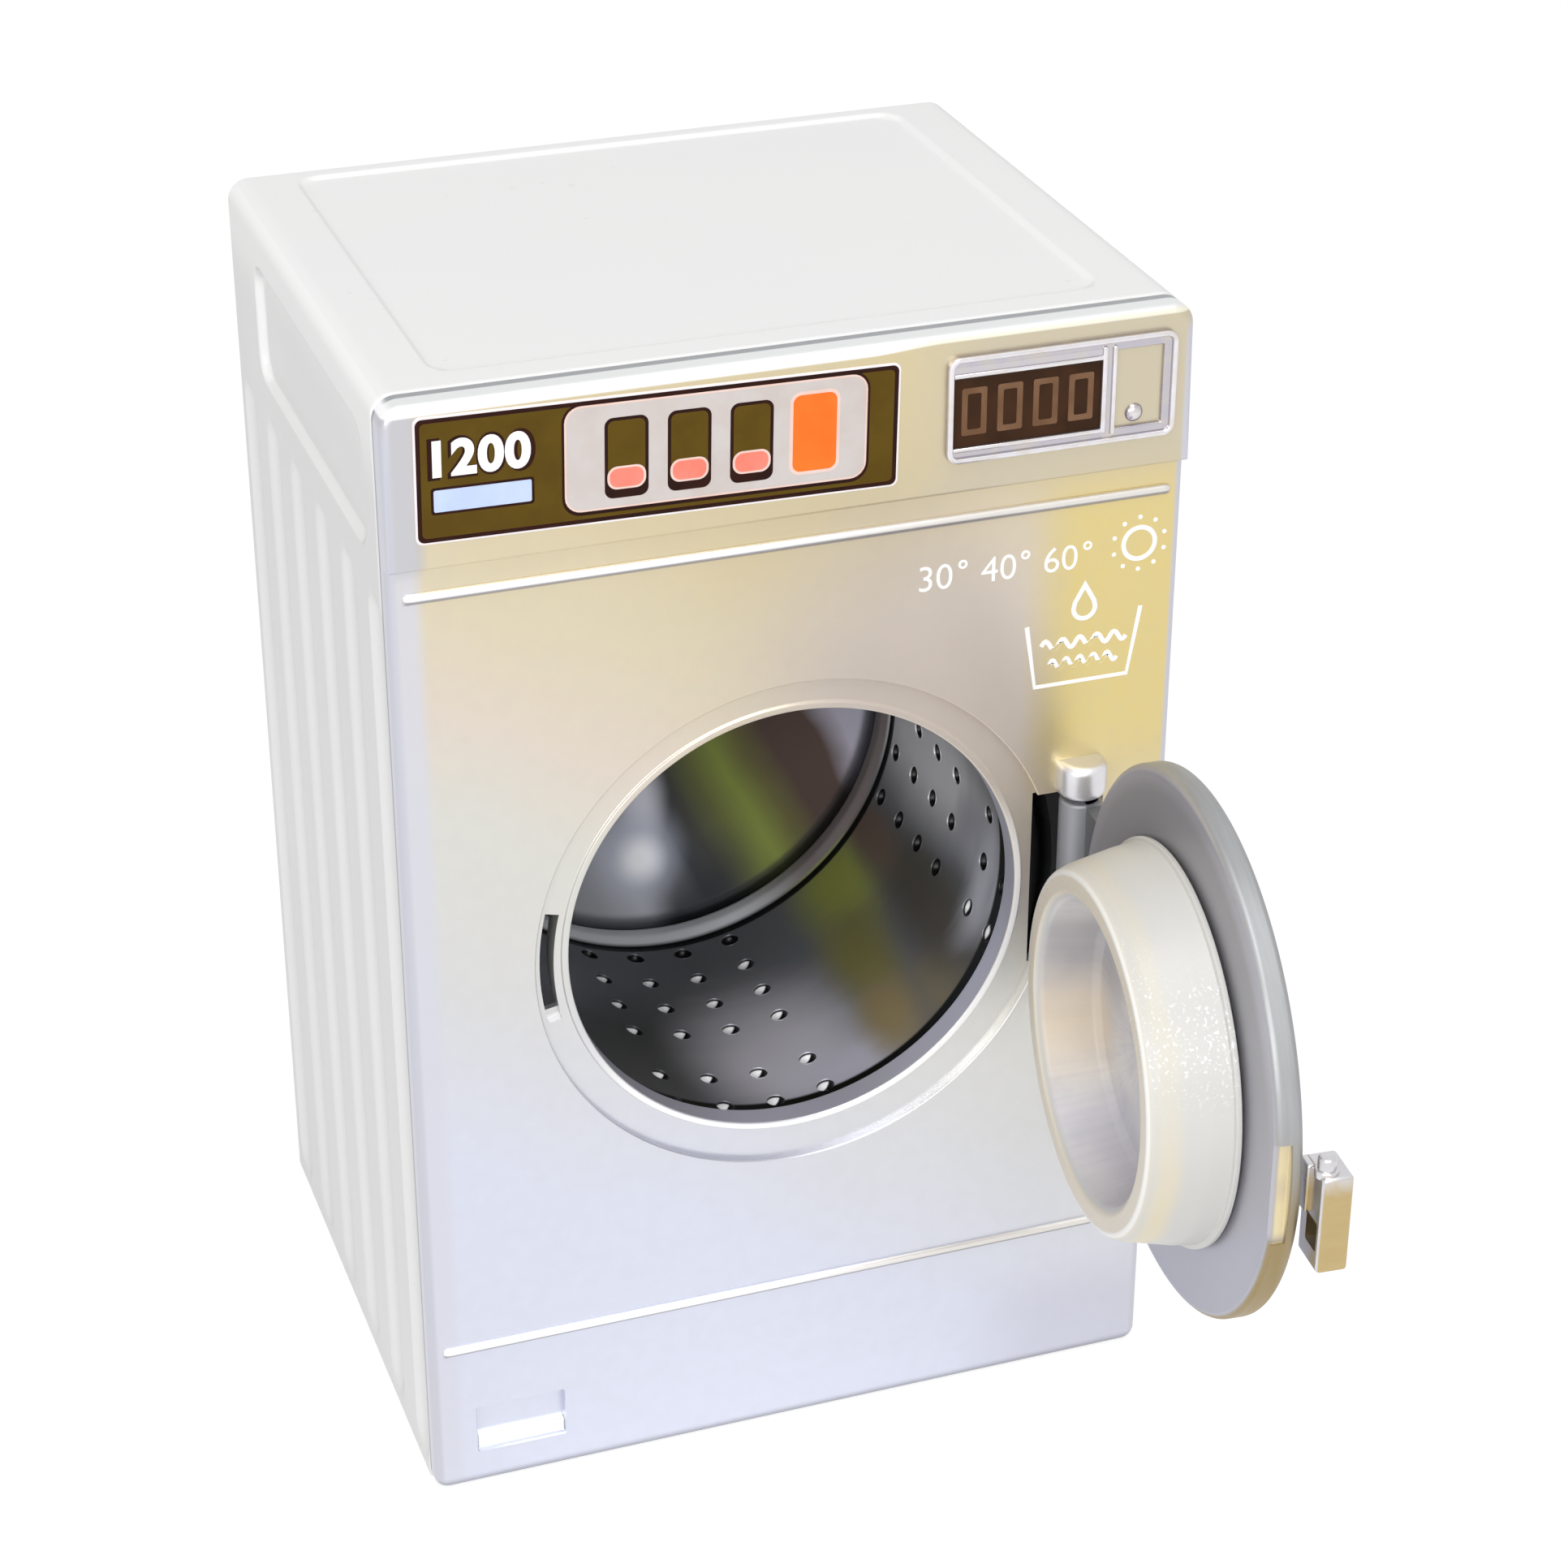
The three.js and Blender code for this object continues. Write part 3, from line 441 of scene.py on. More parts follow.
def grown(shape, graph, inputs):
    # runs a geometry tree on a shape, with the inputs given by their sockets' identifiers
    obj = rawObject("grown", shape)
    modifier = obj.modifiers.new("tree", "NODES")
    modifier.node_group = graph.tree
    for item in graph.tree.interface.items_tree:
        if item.in_out == "INPUT" and item.name in inputs:
            modifier[item.identifier] = inputs[item.name]
    return evaluatedMesh(obj)


def gridOfCopies(shape, material, inputs):
    # the shape repeated in columns along X and rows along Z
    graph, given = geometryTree("copies in rows", inputs)
    index = graph.node("GeometryNodeInputIndex")
    column = graph.math("MODULO", index, given["Columns"])
    row = graph.math("FLOOR", index / given["Columns"])
    place = graph.vector(given["First X"] + column * given["Column step"], 0.0,
                         given["First Z"] + row * given["Row step"])
    points = graph.node("GeometryNodePoints", None, {0: given["Columns"] * given["Rows"], 1: place})
    copies = graph.node("GeometryNodeInstanceOnPoints", None,
                        {"Points": points, "Instance": given["Geometry"]})
    closeTree(graph, copies, material)
    return grown(shape, graph, inputs)


def ringOfCopies(shape, material, inputs):
    # the shape repeated round a point in the front's plane, each copy turned with its place
    graph, given = geometryTree("copies in a ring", inputs)
    index = graph.node("GeometryNodeInputIndex")
    angle = index * (2 * math.pi) / given["Count"]
    place = graph.vector(given["Centre X"] + given["Radius"] * graph.math("SINE", angle), 0.0,
                         given["Centre Z"] + given["Radius"] * graph.math("COSINE", angle))
    points = graph.node("GeometryNodePoints", None, {0: given["Count"], 1: place})
    turn = graph.node("FunctionNodeEulerToRotation", None, {0: graph.vector(0.0, angle, 0.0)})
    copies = graph.node("GeometryNodeInstanceOnPoints", None,
                        {"Points": points, "Instance": given["Geometry"], "Rotation": turn})
    closeTree(graph, copies, material)
    return grown(shape, graph, inputs)


# Materials; their masks are worked out in millimetres, as the shapes are

def newMaterial(name, fixed):
    material = bpy.data.materials.new(name)
    material.use_nodes = True
    shader = material.node_tree.nodes["Principled BSDF"]
    for label, value in fixed.items():
        shader.inputs[label].default_value = value
    return material, Graph(material.node_tree), shader


def feed(graph, shader, links):
    for label, wire in links.items():
        graph.tree.links.new(wire.socket, shader.inputs[label])


def objectPlace(graph):
    return graph.node("ShaderNodeTexCoord", None, None, "Object")


def placeParts(graph, place):
    return [part * (1 / millimetre) for part in graph.parts(place)]


def facingParts(graph):
    # the way the surface faces, on the object's own axes
    return graph.parts(graph.node("ShaderNodeTexCoord", None, None, "Normal"))


def stretched(graph, place, factors):
    return graph.node("ShaderNodeVectorMath", {"operation": "MULTIPLY"}, {0: place, 1: factors})


def noise(graph, place, scale, detail=3.0, roughness=0.5):
    values = {"Vector": place, "Scale": scale, "Detail": detail, "Roughness": roughness}
    return graph.node("ShaderNodeTexNoise", None, values)


def bump(graph, height, strength, distance):
    values = {"Strength": strength, "Distance": distance, "Height": height}
    return graph.node("ShaderNodeBump", None, values)


def steelWire():
    material, graph, shader = newMaterial("bright steel", {"Metallic": 1.0})
    place = objectPlace(graph)
    ring = noise(graph, place, 3000.0, 3.0)
    feed(graph, shader, {
        "Base Color": graph.mixed(ring, "c6c8ca", "a7a9ad"),
        "Roughness": 0.22 + ring * 0.15,
        "Normal": bump(graph, ring, 0.1, 0.00003),
    })
    return material


def blackPlastic():
    material, graph, shader = newMaterial("black plastic", {"IOR": 1.5})
    place = objectPlace(graph)
    grain = noise(graph, place, 1800.0, 3.0)
    feed(graph, shader, {
        "Base Color": graph.mixed(grain, "232426", "303134"),
        "Roughness": 0.5 + grain * 0.15,
        "Normal": bump(graph, grain, 0.15, 0.00005),
    })
    return material


def printed(name, main, second, roughness=0.42):
    # ink on glossy paper or film, slightly uneven
    material, graph, shader = newMaterial(name, {"IOR": 1.45, "Specular IOR Level": 0.16})
    place = objectPlace(graph)
    cloud = noise(graph, place, 500.0, 3.0)
    dots = noise(graph, place, 5200.0, 1.0)
    feed(graph, shader, {
        "Base Color": graph.mixed(graph.step(cloud, 0.3, 0.75), main, second),
        "Roughness": roughness + dots * 0.08,
        "Normal": bump(graph, dots, 0.05, 0.00001),
    })
    return material


steel = steelWire()
black = blackPlastic()
darkInk = printed("dark brown ink", "240a04", "2e1006")
whiteInk = printed("white ink", "fbfbfb", "f4f4f4")
print("shared materials made")


# Front panel

front = {
    "halfWidth": 25.0, "height": 76.7, "cornerRadius": 1.4, "footRadius": 1.0, "rim": 0.62,
    "face": -20.2, "back": -18.8,
    "fasciaFoot": 66.5, "fasciaFace": -20.7, "fasciaBack": -19.58, "fasciaFootRim": 0.22,
    "openingZ": 38.4, "openingRadius": 14.8,
    "seatX": 0.2, "seatZ": 38.05, "seatRadius": 17.2, "seatFloor": -19.75, "seatOuter": 18.3,
    "latchRadii": (15.95, 16.85), "latchAngles": (166.5, 193.5), "latchShallow": 2.6,
    "slotLeft": 15.9, "slotRight": 20.5, "slotFoot": 32.2, "slotHead": 44.6,
    "hingeX": 18.8, "hingeY": -20.65, "earRadius": 1.62, "earHeight": 2.4,
    "beadEnd": 24.1, "beadHalf": 0.32, "beadProud": 0.33, "beads": (64.65, 11.05),
    "pocket": (-22.05, -16.1, 2.6, 6.1), "ledgeHead": 3.6,
    "rib": (-23.4, 23.4, 1.6, 75.1), "ribWidth": 1.0, "postReach": 21.8 * math.sqrt(0.5),
}
# the silver film's colours: its tones and golden, pale, grey and lavender fields are painted reflections, the
# edge tones painted highlights and shade; mottle is the film's own
film = {
    "tones": [(0.13, "d5d8e6"), (0.27, "d4d4d5"), (0.39, "d5d4cd"), (0.46, "dacfc2"),
              (0.53, "d8cdb3"), (0.62, "d4c6a4"), (0.80, "d3c5a0")],
    "golden": "dcc884", "goldenAcross": (14.5, 18.5), "goldenUp": (40.0, 50.0), "goldenHead": (68.0, 63.0),
    "paintedLight": "d3c8c1", "paintedLightCentre": (9.5, 53.0), "paintedLightReach": (17.5, 5.0),
    "fasciaRightReflection": "bdb8ae", "footRightReflection": "bebdc8", "mottle": "b9b6b4",
    "leftStripReflection": "d1d2dc", "fasciaLeftReflection": "b2b2b8", "sides": "c6c6d0", "sidesBackShade": "8e8e98", "foot": "77777e",
    "bendHighlight": ("fafafb", "efebda"), "top": ("e4e5e5", "9fa0a3"),
    "beadCrest": ("fbfbfc", "ddd9d4"), "beadShade": "85828a",
    "seatRing": "f6f5f4", "seatWallReflection": "c0bfcd", "ledge": "f4f6f7", "ledgeX": -18.95,
}


def silverFilm():
    # satin metallised film with painted reflections: golden at the upper right, cool at the foot; painted
    # highlights and shade on its edges and beads
    material, graph, shader = newMaterial("silver film", {"IOR": 1.5})
    place = objectPlace(graph)
    x, y, z = placeParts(graph, place)
    across = graph.math("ABSOLUTE", x)
    cloud = noise(graph, place, 45.0, 2.0)
    grain = noise(graph, place, 6500.0, 2.0, 0.6)
    mottle = noise(graph, place, 900.0, 3.0)
    face, top, r = front["face"], front["height"], front["openingRadius"]

    # warm and cool fields: painted reflections of the surroundings, with a painted golden field and a painted
    # light patch
    base = graph.ramp(film["tones"], (z + x * 0.5) * 0.010 + (cloud - 0.5) * 0.10)
    golden = graph.step(x + (cloud - 0.5) * 3.0, *film["goldenAcross"]) * graph.step(z, *film["goldenUp"])
    # a painted light patch above and right of the opening, made less metallic
    away = graph.length(x - film["paintedLightCentre"][0], z - film["paintedLightCentre"][1]) + (cloud - 0.5) * 3.0
    paintedLightMask = graph.step(away, *film["paintedLightReach"]) * (1.0 - golden)
    base = graph.tint(base, paintedLightMask * 0.85, film["paintedLight"])
    base = graph.tint(base, golden * graph.step(z, *film["goldenHead"]) * 0.85, film["golden"])
    # painted reflections: greyer on the fascia's right, bluer at the foot's right
    onFascia = graph.step(z, 66.3, 66.7)
    base = graph.tint(base, graph.step(x, 6.0, 12.0) * onFascia * 0.45, film["fasciaRightReflection"])
    base = graph.tint(base, graph.step(x, 10.0, 19.0) * graph.step(z, 10.0, 4.0) * 0.5, film["footRightReflection"])
    base = graph.tint(base, (mottle - 0.35) * 0.22, film["mottle"])

    # painted reflection on the panel's left strip and both its sides, painted shade on the sides' back edges
    # and along its foot
    base = graph.tint(base, graph.step(x, -22.6, -23.6) * 0.8, film["leftStripReflection"])
    base = graph.tint(base, graph.step(x, -22.4, -23.2) * graph.step(z, 65.5, 66.8) * 0.5, film["fasciaLeftReflection"])
    base = graph.tint(base, graph.step(across, 24.30, 24.65) * graph.step(z, 76.5, 74.5), film["sides"])
    base = graph.tint(base, graph.step(across, 24.6, 24.8) * graph.step(y, -19.15, -19.00), film["sidesBackShade"])
    base = graph.tint(base, graph.step(z, 0.9, 0.2) * 0.65, film["foot"])

    # the top edge: painted shade, grey where it lies flat, and a painted highlight, white on its bend, narrow
    # and cream at the right
    right = graph.step(x, 4.0, 9.0)
    bendHighlight = graph.step(z, top - 0.80 + right * 0.25, top - 0.64 + right * 0.20)
    base = graph.blend(bendHighlight, base, graph.mixed(right, *film["bendHighlight"]))
    flat = graph.step(z, top - 0.34, top - 0.06)
    base = graph.blend(flat, base, graph.mixed(graph.step(y, -19.45, -19.30), *film["top"]))

    # the cross beads: painted highlight above, painted shade below
    crest = graph.step(y, face - 0.02, face - 0.10) * graph.step(z, 66.0, 65.5)
    base = graph.blend(crest, base, graph.mixed(graph.step(x, -6.0, 12.0), *film["beadCrest"]))
    low = graph.larger(*[graph.within(z - bead + 0.24, 0.22, 0.12) for bead in front["beads"]])
    low = low * graph.step(across, 24.2, 23.8) * graph.step(y, face + 0.1, face)
    base = graph.tint(base, low * 0.75, film["beadShade"])

    # the seat's raised inner ring with a painted highlight below, and a painted lavender reflection on its
    # inner wall
    up = z - front["openingZ"]
    radius = graph.length(x, up)
    ring = graph.band(radius, (r + 0.04, r + 0.12), (r + 0.45, r + 0.55)) * graph.step(y, -19.5, -19.7)
    ring = ring * graph.step(up - x * 0.5, 2.0, -7.0)
    base = graph.tint(base, ring, film["seatRing"])
    wall = graph.band(radius, (r - 0.10, r - 0.06), (r + 0.06, r + 0.12))
    base = graph.tint(base, wall * graph.step(y, -19.9, -19.7), film["seatWallReflection"])

    # a painted highlight on the pocket's ledge
    ledge = graph.band(z, (2.6, 2.7), (3.70, 3.85)) * graph.within(x - film["ledgeX"], 3.1, 3.0)
    base = graph.tint(base, ledge * graph.step(y, -20.05, -19.95), film["ledge"])
    feed(graph, shader, {
        "Base Color": base,
        "Metallic": 0.84 - right * 0.10 - paintedLightMask * 0.40 - ring * 0.5 - wall * 0.4,
        "Roughness": 0.26 + grain * 0.10 + cloud * 0.05,
        "Normal": bump(graph, grain + mottle * 1.5, 0.10, 0.00003),
    })
    return material


def chromeFilm():
    # the same film where it is left bright, on the hinge's ears
    material, graph, shader = newMaterial("bright silver film", {"Metallic": 0.75})
    place = objectPlace(graph)
    mottle = noise(graph, place, 700.0, 3.0)
    scuff = graph.step(noise(graph, place, 2600.0, 4.0), 0.60, 0.72)
    feed(graph, shader, {
        "Base Color": graph.mixed(mottle * 0.5, "e4e3e6", "cdcbd0"),
        "Roughness": 0.30 + mottle * 0.10 + scuff * 0.10,
        "Normal": bump(graph, mottle, 0.12, 0.00006),
    })
    return material


def frontOutline():
    w, h, r, low = front["halfWidth"], front["height"], front["cornerRadius"], front["footRadius"]
    return filleted([(-w, 0, low), (w, 0, low), (w, h, r), (-w, h, r)], 8)


def frontFace():
    # seat circle and hinge slot as one opening
    x, z, r = front["seatX"], front["seatZ"], front["seatRadius"]
    upper = math.degrees(math.asin((front["slotHead"] - z) / r))
    lower = math.degrees(math.asin((front["slotFoot"] - z) / r))
    opening = arcPoints(x, z, r, upper, 360 + lower, 150)
    opening += [(front["slotRight"], front["slotFoot"]), (front["slotRight"], front["slotHead"])]
    pocket = roundedRectangle(*front["pocket"], 0.12, 2)
    return plate(frontOutline(), front["back"], front["face"], front["rim"], [opening, pocket], 0.12, 6)


def fascia():
    w, h, r, foot = front["halfWidth"], front["height"], front["cornerRadius"], front["fasciaFoot"]
    corners = filleted([(-w, foot), (w, foot), (w, h, r), (-w, h, r)], 8)
    rule = lambda u, v: front["fasciaFootRim"] if v < foot + 0.01 else front["rim"]
    return plate(corners, front["fasciaBack"], front["fasciaFace"], rule, (), 0, 6)


def seatRing():
    # the sunk seat round the opening, cut for the latch and the hinge
    floor, outer, r = front["seatFloor"], front["seatOuter"], front["openingRadius"]
    profile = filleted([
        (outer, floor), (r + 0.52, floor, 0.08), (r + 0.42, floor - 0.15, 0.07), (r, floor - 0.15, 0.12),
        (r, -18.2, 0.1), (r + 1.0, -18.2, 0.1), (r + 1.0, -18.85), (outer, -18.85),
    ], 4)
    ring = lathe(profile, (0, front["openingZ"]), 192)
    centre = front["seatX"], front["seatZ"]
    near, far = front["latchRadii"]
    start, end = front["latchAngles"]

    def bar(fromAngle, toAngle, y0, y1):
        outline = arcPoints(*centre, far, fromAngle, toAngle, 16)
        outline += arcPoints(*centre, near, toAngle, fromAngle, 16)
        return plate(outline, y1, y0, 0, (), 0, 1)

    through = bar(start, end - front["latchShallow"], -21.0, -16.0)
    shallow = bar(end - front["latchShallow"] - 0.6, end, -21.0, -19.3)
    hinge = roundedBox(front["slotLeft"], 24.0, -21.0, -16.0, front["slotFoot"], front["slotHead"], 0.02, 1)
    return carved(ring, through, shallow, hinge)


def hingeEars():
    x, y, r, height = front["hingeX"], front["hingeY"], front["earRadius"], front["earHeight"]
    root = -19.9
    outline = [(x + r, root), (x + r, y), *arcPoints(x, y, r, 0, -180, 24)[1:-1], (x - r, y), (x - r, root)]
    ears = [plate(outline, foot, foot + height, 0.55, (), 0, 6, bothEnds=True, upright=True)
            for foot in (front["slotHead"], front["slotFoot"] - height)]
    return joined(*ears)


def pocketInside():
    x0, x1, z0, z1 = front["pocket"]
    floor = roundedBox(x0 - 0.1, x1 + 0.1, -19.5, -18.85, z0 - 0.1, z1 + 0.1, 0.05, 1)
    ledge = roundedBox(x0, x1, -19.95, -19.4, z0 - 0.1, front["ledgeHead"], 0.14, 3)
    return joined(floor, ledge)


def panelBack():
    # locating rib and the four screw posts behind the panel
    x0, x1, z0, z1 = front["rib"]
    width, reach = front["ribWidth"], front["postReach"]
    inner = roundedRectangle(x0 + width, x1 - width, z0 + width, z1 - width, 0.4, 3)
    shapes = [plate(roundedRectangle(x0, x1, z0, z1, 0.6, 3), -18.9, -16.4, 0.1, [inner], 0.1, 2)]
    post = filleted([(0.9, -18.75), (1.8, -18.9), (1.8, -16.2, 0.15), (0.9, -16.2, 0.1)], 3)
    for sx in (-1, 1):
        for sz in (-1, 1):
            shapes.append(lathe(post, (sx * reach, front["openingZ"] + sz * reach), 32))
    return joined(*shapes)


def crossBeads():
    end, half, proud = front["beadEnd"], front["beadHalf"], front["beadProud"]
    return joined(*[crossBead(-end, end, z, front["face"], half, proud, 0.5) for z in front["beads"]])


silver = silverFilm()
panelPieces = [
    ("panelFace", joined(frontFace(), pocketInside(), panelBack()), silver),
    ("panelFascia", fascia(), silver),
    ("panelSeat", seatRing(), silver),
    ("panelBeads", crossBeads(), silver),
    ("hingeEars", hingeEars(), chromeFilm()),
]
for name, shape, material in panelPieces:
    piece(name, shape, material, "cabinet", ["front_panel"])
print("front panel made")


# Display

bezel = {
    "left": 9.0, "right": 23.75, "foot": 68.55, "head": 75.3, "front": -21.15, "shelf": -20.93, "root": -20.6,
    "radius": 0.75, "ridge": 0.36, "width": 0.88,
    "glass": (9.42, 18.85, 69.55, 73.95), "glassBack": -20.7, "glassFace": -20.84, "divider": (18.85, 19.8),
    "domeX": 21.15, "domeZ": 70.2, "domeRadius": 0.6, "channelShade": "a9a4b0", "crestHighlight": "e2dfe4",
}
digit = {
    "width": 1.6, "height": 3.0, "line": 0.37, "corner": 0.12, "back": -20.83, "face": -20.86,
    "places": {
        "Columns": 4, "Rows": 1, "First X": 10.75, "First Z": 70.25, "Column step": 2.28, "Row step": 1.0,
    },
}


def bezelFilm():
    # bright film on the display's frame: a painted highlight on its crests, painted lavender grey shade in
    # its channel
    material, graph, shader = newMaterial("bezel film", {"Metallic": 0.9})
    place = objectPlace(graph)
    y = placeParts(graph, place)[1]
    mottle = noise(graph, place, 900.0, 3.0)
    base = graph.mixed(graph.step(y, -20.85, -21.08), bezel["channelShade"], bezel["crestHighlight"])
    feed(graph, shader, {
        "Base Color": graph.tint(base, graph.step(mottle, 0.35, 0.75) * 0.45, "cfc6b4"),
        "Roughness": 0.16 + mottle * 0.10,
        "Normal": bump(graph, mottle, 0.12, 0.00004),
    })
    return material


def displayBezel():
    # an outer ridge, a lower shelf inside it and a thin ridge round the window
    b = bezel
    left, right, foot, head, root = b["left"], b["right"], b["foot"], b["head"], b["root"]
    crest, shelf = b["front"], b["shelf"]
    sideWidth = 0.42  # the frame is narrower beside the window

    def ring(inward, width, face, radius, rim):
        outer = roundedRectangle(left + inward, right - inward, foot + inward, head - inward,
                                 max(0.1, radius - inward), 6)
        narrow = inward + width
        inner = roundedRectangle(left + min(narrow, sideWidth), right - narrow, foot + narrow, head - narrow,
                                 max(0.08, radius - narrow), 6)
        return plate(outer, root, face, rim, [inner], lambda u, v: min(rim, 0.1) if u < 9.6 else rim, 5)

    u0, u1, v0, v1 = b["glass"]
    d0, d1 = b["divider"]
    inside = b["ridge"] * 0.8
    shapes = [
        ring(0, b["ridge"], crest, b["radius"], 0.16),
        ring(inside, b["width"] - inside, shelf, b["radius"], 0.1),
        roundedBox(d0 + 0.16, d1 - 0.1, shelf - 0.01, root, foot + 0.3, head - 0.3, 0.02, 1),
        roundedBox(d0, d0 + 0.34, crest + 0.04, root, v0 - 0.3, head - 0.5, 0.12, 3),
        roundedBox(d1 - 0.3, d1, crest + 0.04, root, foot + 0.5, head - 0.5, 0.12, 3),
        roundedBox(u0 - 0.05, u1 + 0.1, crest + 0.08, root, v1, v1 + 0.3, 0.1, 3),
        roundedBox(u0 - 0.05, u1 + 0.1, shelf - 0.02, root, v1 + 0.2, head - 0.6, 0.08, 2),
        roundedBox(u0 - 0.05, u1 + 0.1, crest + 0.08, root, v0 - 0.28, v0, 0.1, 3),
    ]
    size = b["domeRadius"]
    quarter = np.linspace(0, math.pi / 2, 10)
    cap = [(size * math.sin(a), root - 0.02 - size * 0.72 * math.cos(a)) for a in quarter]
    cap += [(size, root + 0.1), (0, root + 0.1)]
    return joined(*shapes, lathe(cap, (b["domeX"], b["domeZ"]), 32, closed=False))


def displayDigits(ink):
    # plain zeros in a row
    half, height, line, corner = digit["width"] / 2, digit["height"], digit["line"], digit["corner"]
    hole = roundedRectangle(line - half, half - line, line, height - line, corner - 0.02, 2)
    outline = roundedRectangle(-half, half, 0, height, corner, 2)
    zero = plate(outline, digit["back"], digit["face"], 0.01, [hole], 0.01, 1)
    return gridOfCopies(zero, ink, digit["places"])


piece("displayBezel", displayBezel(), bezelFilm(), "cabinet", ["front_panel"])
outline = roundedRectangle(*bezel["glass"], 0.1, 2)
window = plate(outline, bezel["glassBack"], bezel["glassFace"], 0.02, (), 0, 1)
windowInk = printed("brown display", "321c0b", "3d2411", 0.35)
piece("displayWindow", window, windowInk, "cabinet", ["display_plate"])
digits = displayDigits(printed("display digits", "7b5c44", "6c4d36", 0.4))
finished("displayDigits", digits, None, "cabinet", ["display_plate"])
print("display made")


# Control sticker

sticker = {
    "left": -23.2, "right": 6.05, "foot": 67.9, "head": 75.7, "radius": 0.45, "border": 0.13, "outline": 0.26,
    "back": -20.7, "face": -20.81, "layer": 0.008, "tilt": 1.0, "turnedAbout": (-8.55, 71.8),
    "panel": (-14.4, 4.0, 68.75, 75.3), "button": (-0.6, 2.1, 69.6, 74.4),
    "bar": (-22.1, -16.35, 69.85, 71.2),
    "number": "1200", "numberBox": (-22.3, -16.2, 71.95, 74.25),
    "pills": {
        "Columns": 3, "Rows": 1, "First X": -10.7, "First Z": 69.5, "Column step": 3.79, "Row step": 1.0,
    },
}
middleX, middleZ = sticker["turnedAbout"]
stickerPlace = (Matrix.Translation((middleX, 0, middleZ))
                @ Matrix.Rotation(math.radians(sticker["tilt"]), 4, "Y")
                @ Matrix.Translation((-middleX, 0, -middleZ)))
oliveInk = printed("olive ink", "5c470c", "55400a")
paleInk = printed("pale pink ink", "ecd0c6", "e6c4b8")


def layerFace(level):
    # each level of print stands a hair in front of the one below
    return sticker["face"] - sticker["layer"] * level


def layer(u0, u1, v0, v1, radius, level):
    face = layerFace(level)
    return plate(roundedRectangle(u0, u1, v0, v1, radius, 6), face + 0.03, face, 0.004, (), 0, 1)


def layerRound(box, grow, radius, level):
    # a patch that stands out all round a box, or inside it where grow is below zero
    u0, u1, v0, v1 = box
    return layer(u0 - grow, u1 + grow, v0 - grow, v1 + grow, radius, level)


def lettering(text, box, back, face, grow=0.0, spacing=1.0):
    # plain numbers fitted to the height of a box on the front
    u0, u1, v0, v1 = box
    curve = bpy.data.curves.new("numbers", "FONT")
    curve.body, curve.size, curve.resolution_u, curve.offset = text, 4.0, 6, grow
    curve.space_character = spacing
    obj = bpy.data.objects.new("numbers", curve)
    scene.collection.objects.link(obj)
    points, faces = shapeOf(evaluatedMesh(obj))
    low, high = np.min(points, 0), np.max(points, 0)
    size = (v1 - v0) / (high[1] - low[1])
    middle = (u0 + u1) / 2 - (low[0] + high[0]) / 2 * size
    flat = bmesh.new()
    made = [flat.verts.new((middle + p[0] * size, face, v0 + (p[1] - low[1]) * size)) for p in points]
    for f in faces:
        flat.faces.new([made[i] for i in f])
    bmesh.ops.remove_doubles(flat, verts=flat.verts[:], dist=1e-4)
    pushed = bmesh.ops.extrude_face_region(flat, geom=flat.faces[:])
    for v in pushed["geom"]:
        if isinstance(v, bmesh.types.BMVert):
            v.co.y = back
    flat.verts.index_update()
    shape = ([tuple(v.co) for v in flat.verts], [[v.index for v in f.verts] for f in flat.faces])
    flat.free()
    return tidied(*shape)


def stickerPiece(name, shape, ink):
    piece(name, shape, ink, "cabinet", ["control_sticker"], place=stickerPlace)


def stickerGround():
    s = sticker
    box = (s["left"], s["right"], s["foot"], s["head"])
    base = plate(roundedRectangle(*box, s["radius"], 8), s["back"], s["face"], 0.03, (), 0, 2)
    stickerPiece("stickerBase", base, printed("pale paper edge", "f3ecee", "e9e2e4"))
    patches = [("stickerOutline", s["border"], 1, darkInk),
               ("stickerField", s["border"] + s["outline"], 2, oliveInk)]
    for name, inward, level, ink in patches:
        stickerPiece(name, layerRound(box, -inward, s["radius"] - inward * 0.4, level), ink)


def stickerPatches():
    # the pale panel, the orange button and the blue bar, each with its outline
    s = sticker
    u0, u1, v0, v1 = s["panel"]
    panelEdge = layer(u0 - 0.15, u1 + 0.15, v0 - 0.22, v1 + 0.15, 1.12, 3)
    barEdge = layerRound(s["bar"], 0.16, 0.2, 3)
    stickerPiece("stickerInnerOutlines", joined(panelEdge, barEdge), darkInk)
    panelRim = layerRound(s["panel"], 0.0, 1.0, 4)
    buttonRim = layerRound(s["button"], 0.2, 0.65, 6)
    stickerPiece("stickerPaleEdges", joined(panelRim, buttonRim), paleInk)
    panelInk = printed("light grey ink", "cdc6c3", "c8bdb8")
    buttonInk = printed("orange ink", "ff7a2c", "fb7126")
    barInk = printed("light blue ink", "c6d5f2", "bccdef")
    stickerPiece("stickerPanel", layerRound(s["panel"], -0.12, 0.9, 5), panelInk)
    stickerPiece("stickerButton", layerRound(s["button"], 0.0, 0.5, 7), buttonInk)
    stickerPiece("stickerBar", layerRound(s["bar"], 0.0, 0.12, 4), barInk)


def stickerSliders():
    # three sliders, each in four layers of print
    salmonInk = printed("salmon ink", "f28c7c", "ee7f6c")
    layers = [
        ("stickerPillEdges", layer(-1.32, 1.32, -0.12, 4.87, 0.52, 6), darkInk),
        ("stickerPills", layer(-1.12, 1.12, 0.62, 4.67, 0.36, 7), oliveInk),
        ("stickerSliderEdges", layer(-1.16, 1.16, 0.42, 1.85, 0.60, 8), paleInk),
        ("stickerSliders", layer(-1.02, 1.02, 0.55, 1.72, 0.50, 9), salmonInk),
    ]
    for name, shape, ink in layers:
        copies = gridOfCopies(shape, ink, sticker["pills"])
        finished(name, copies, None, "cabinet", ["control_sticker"], place=stickerPlace)


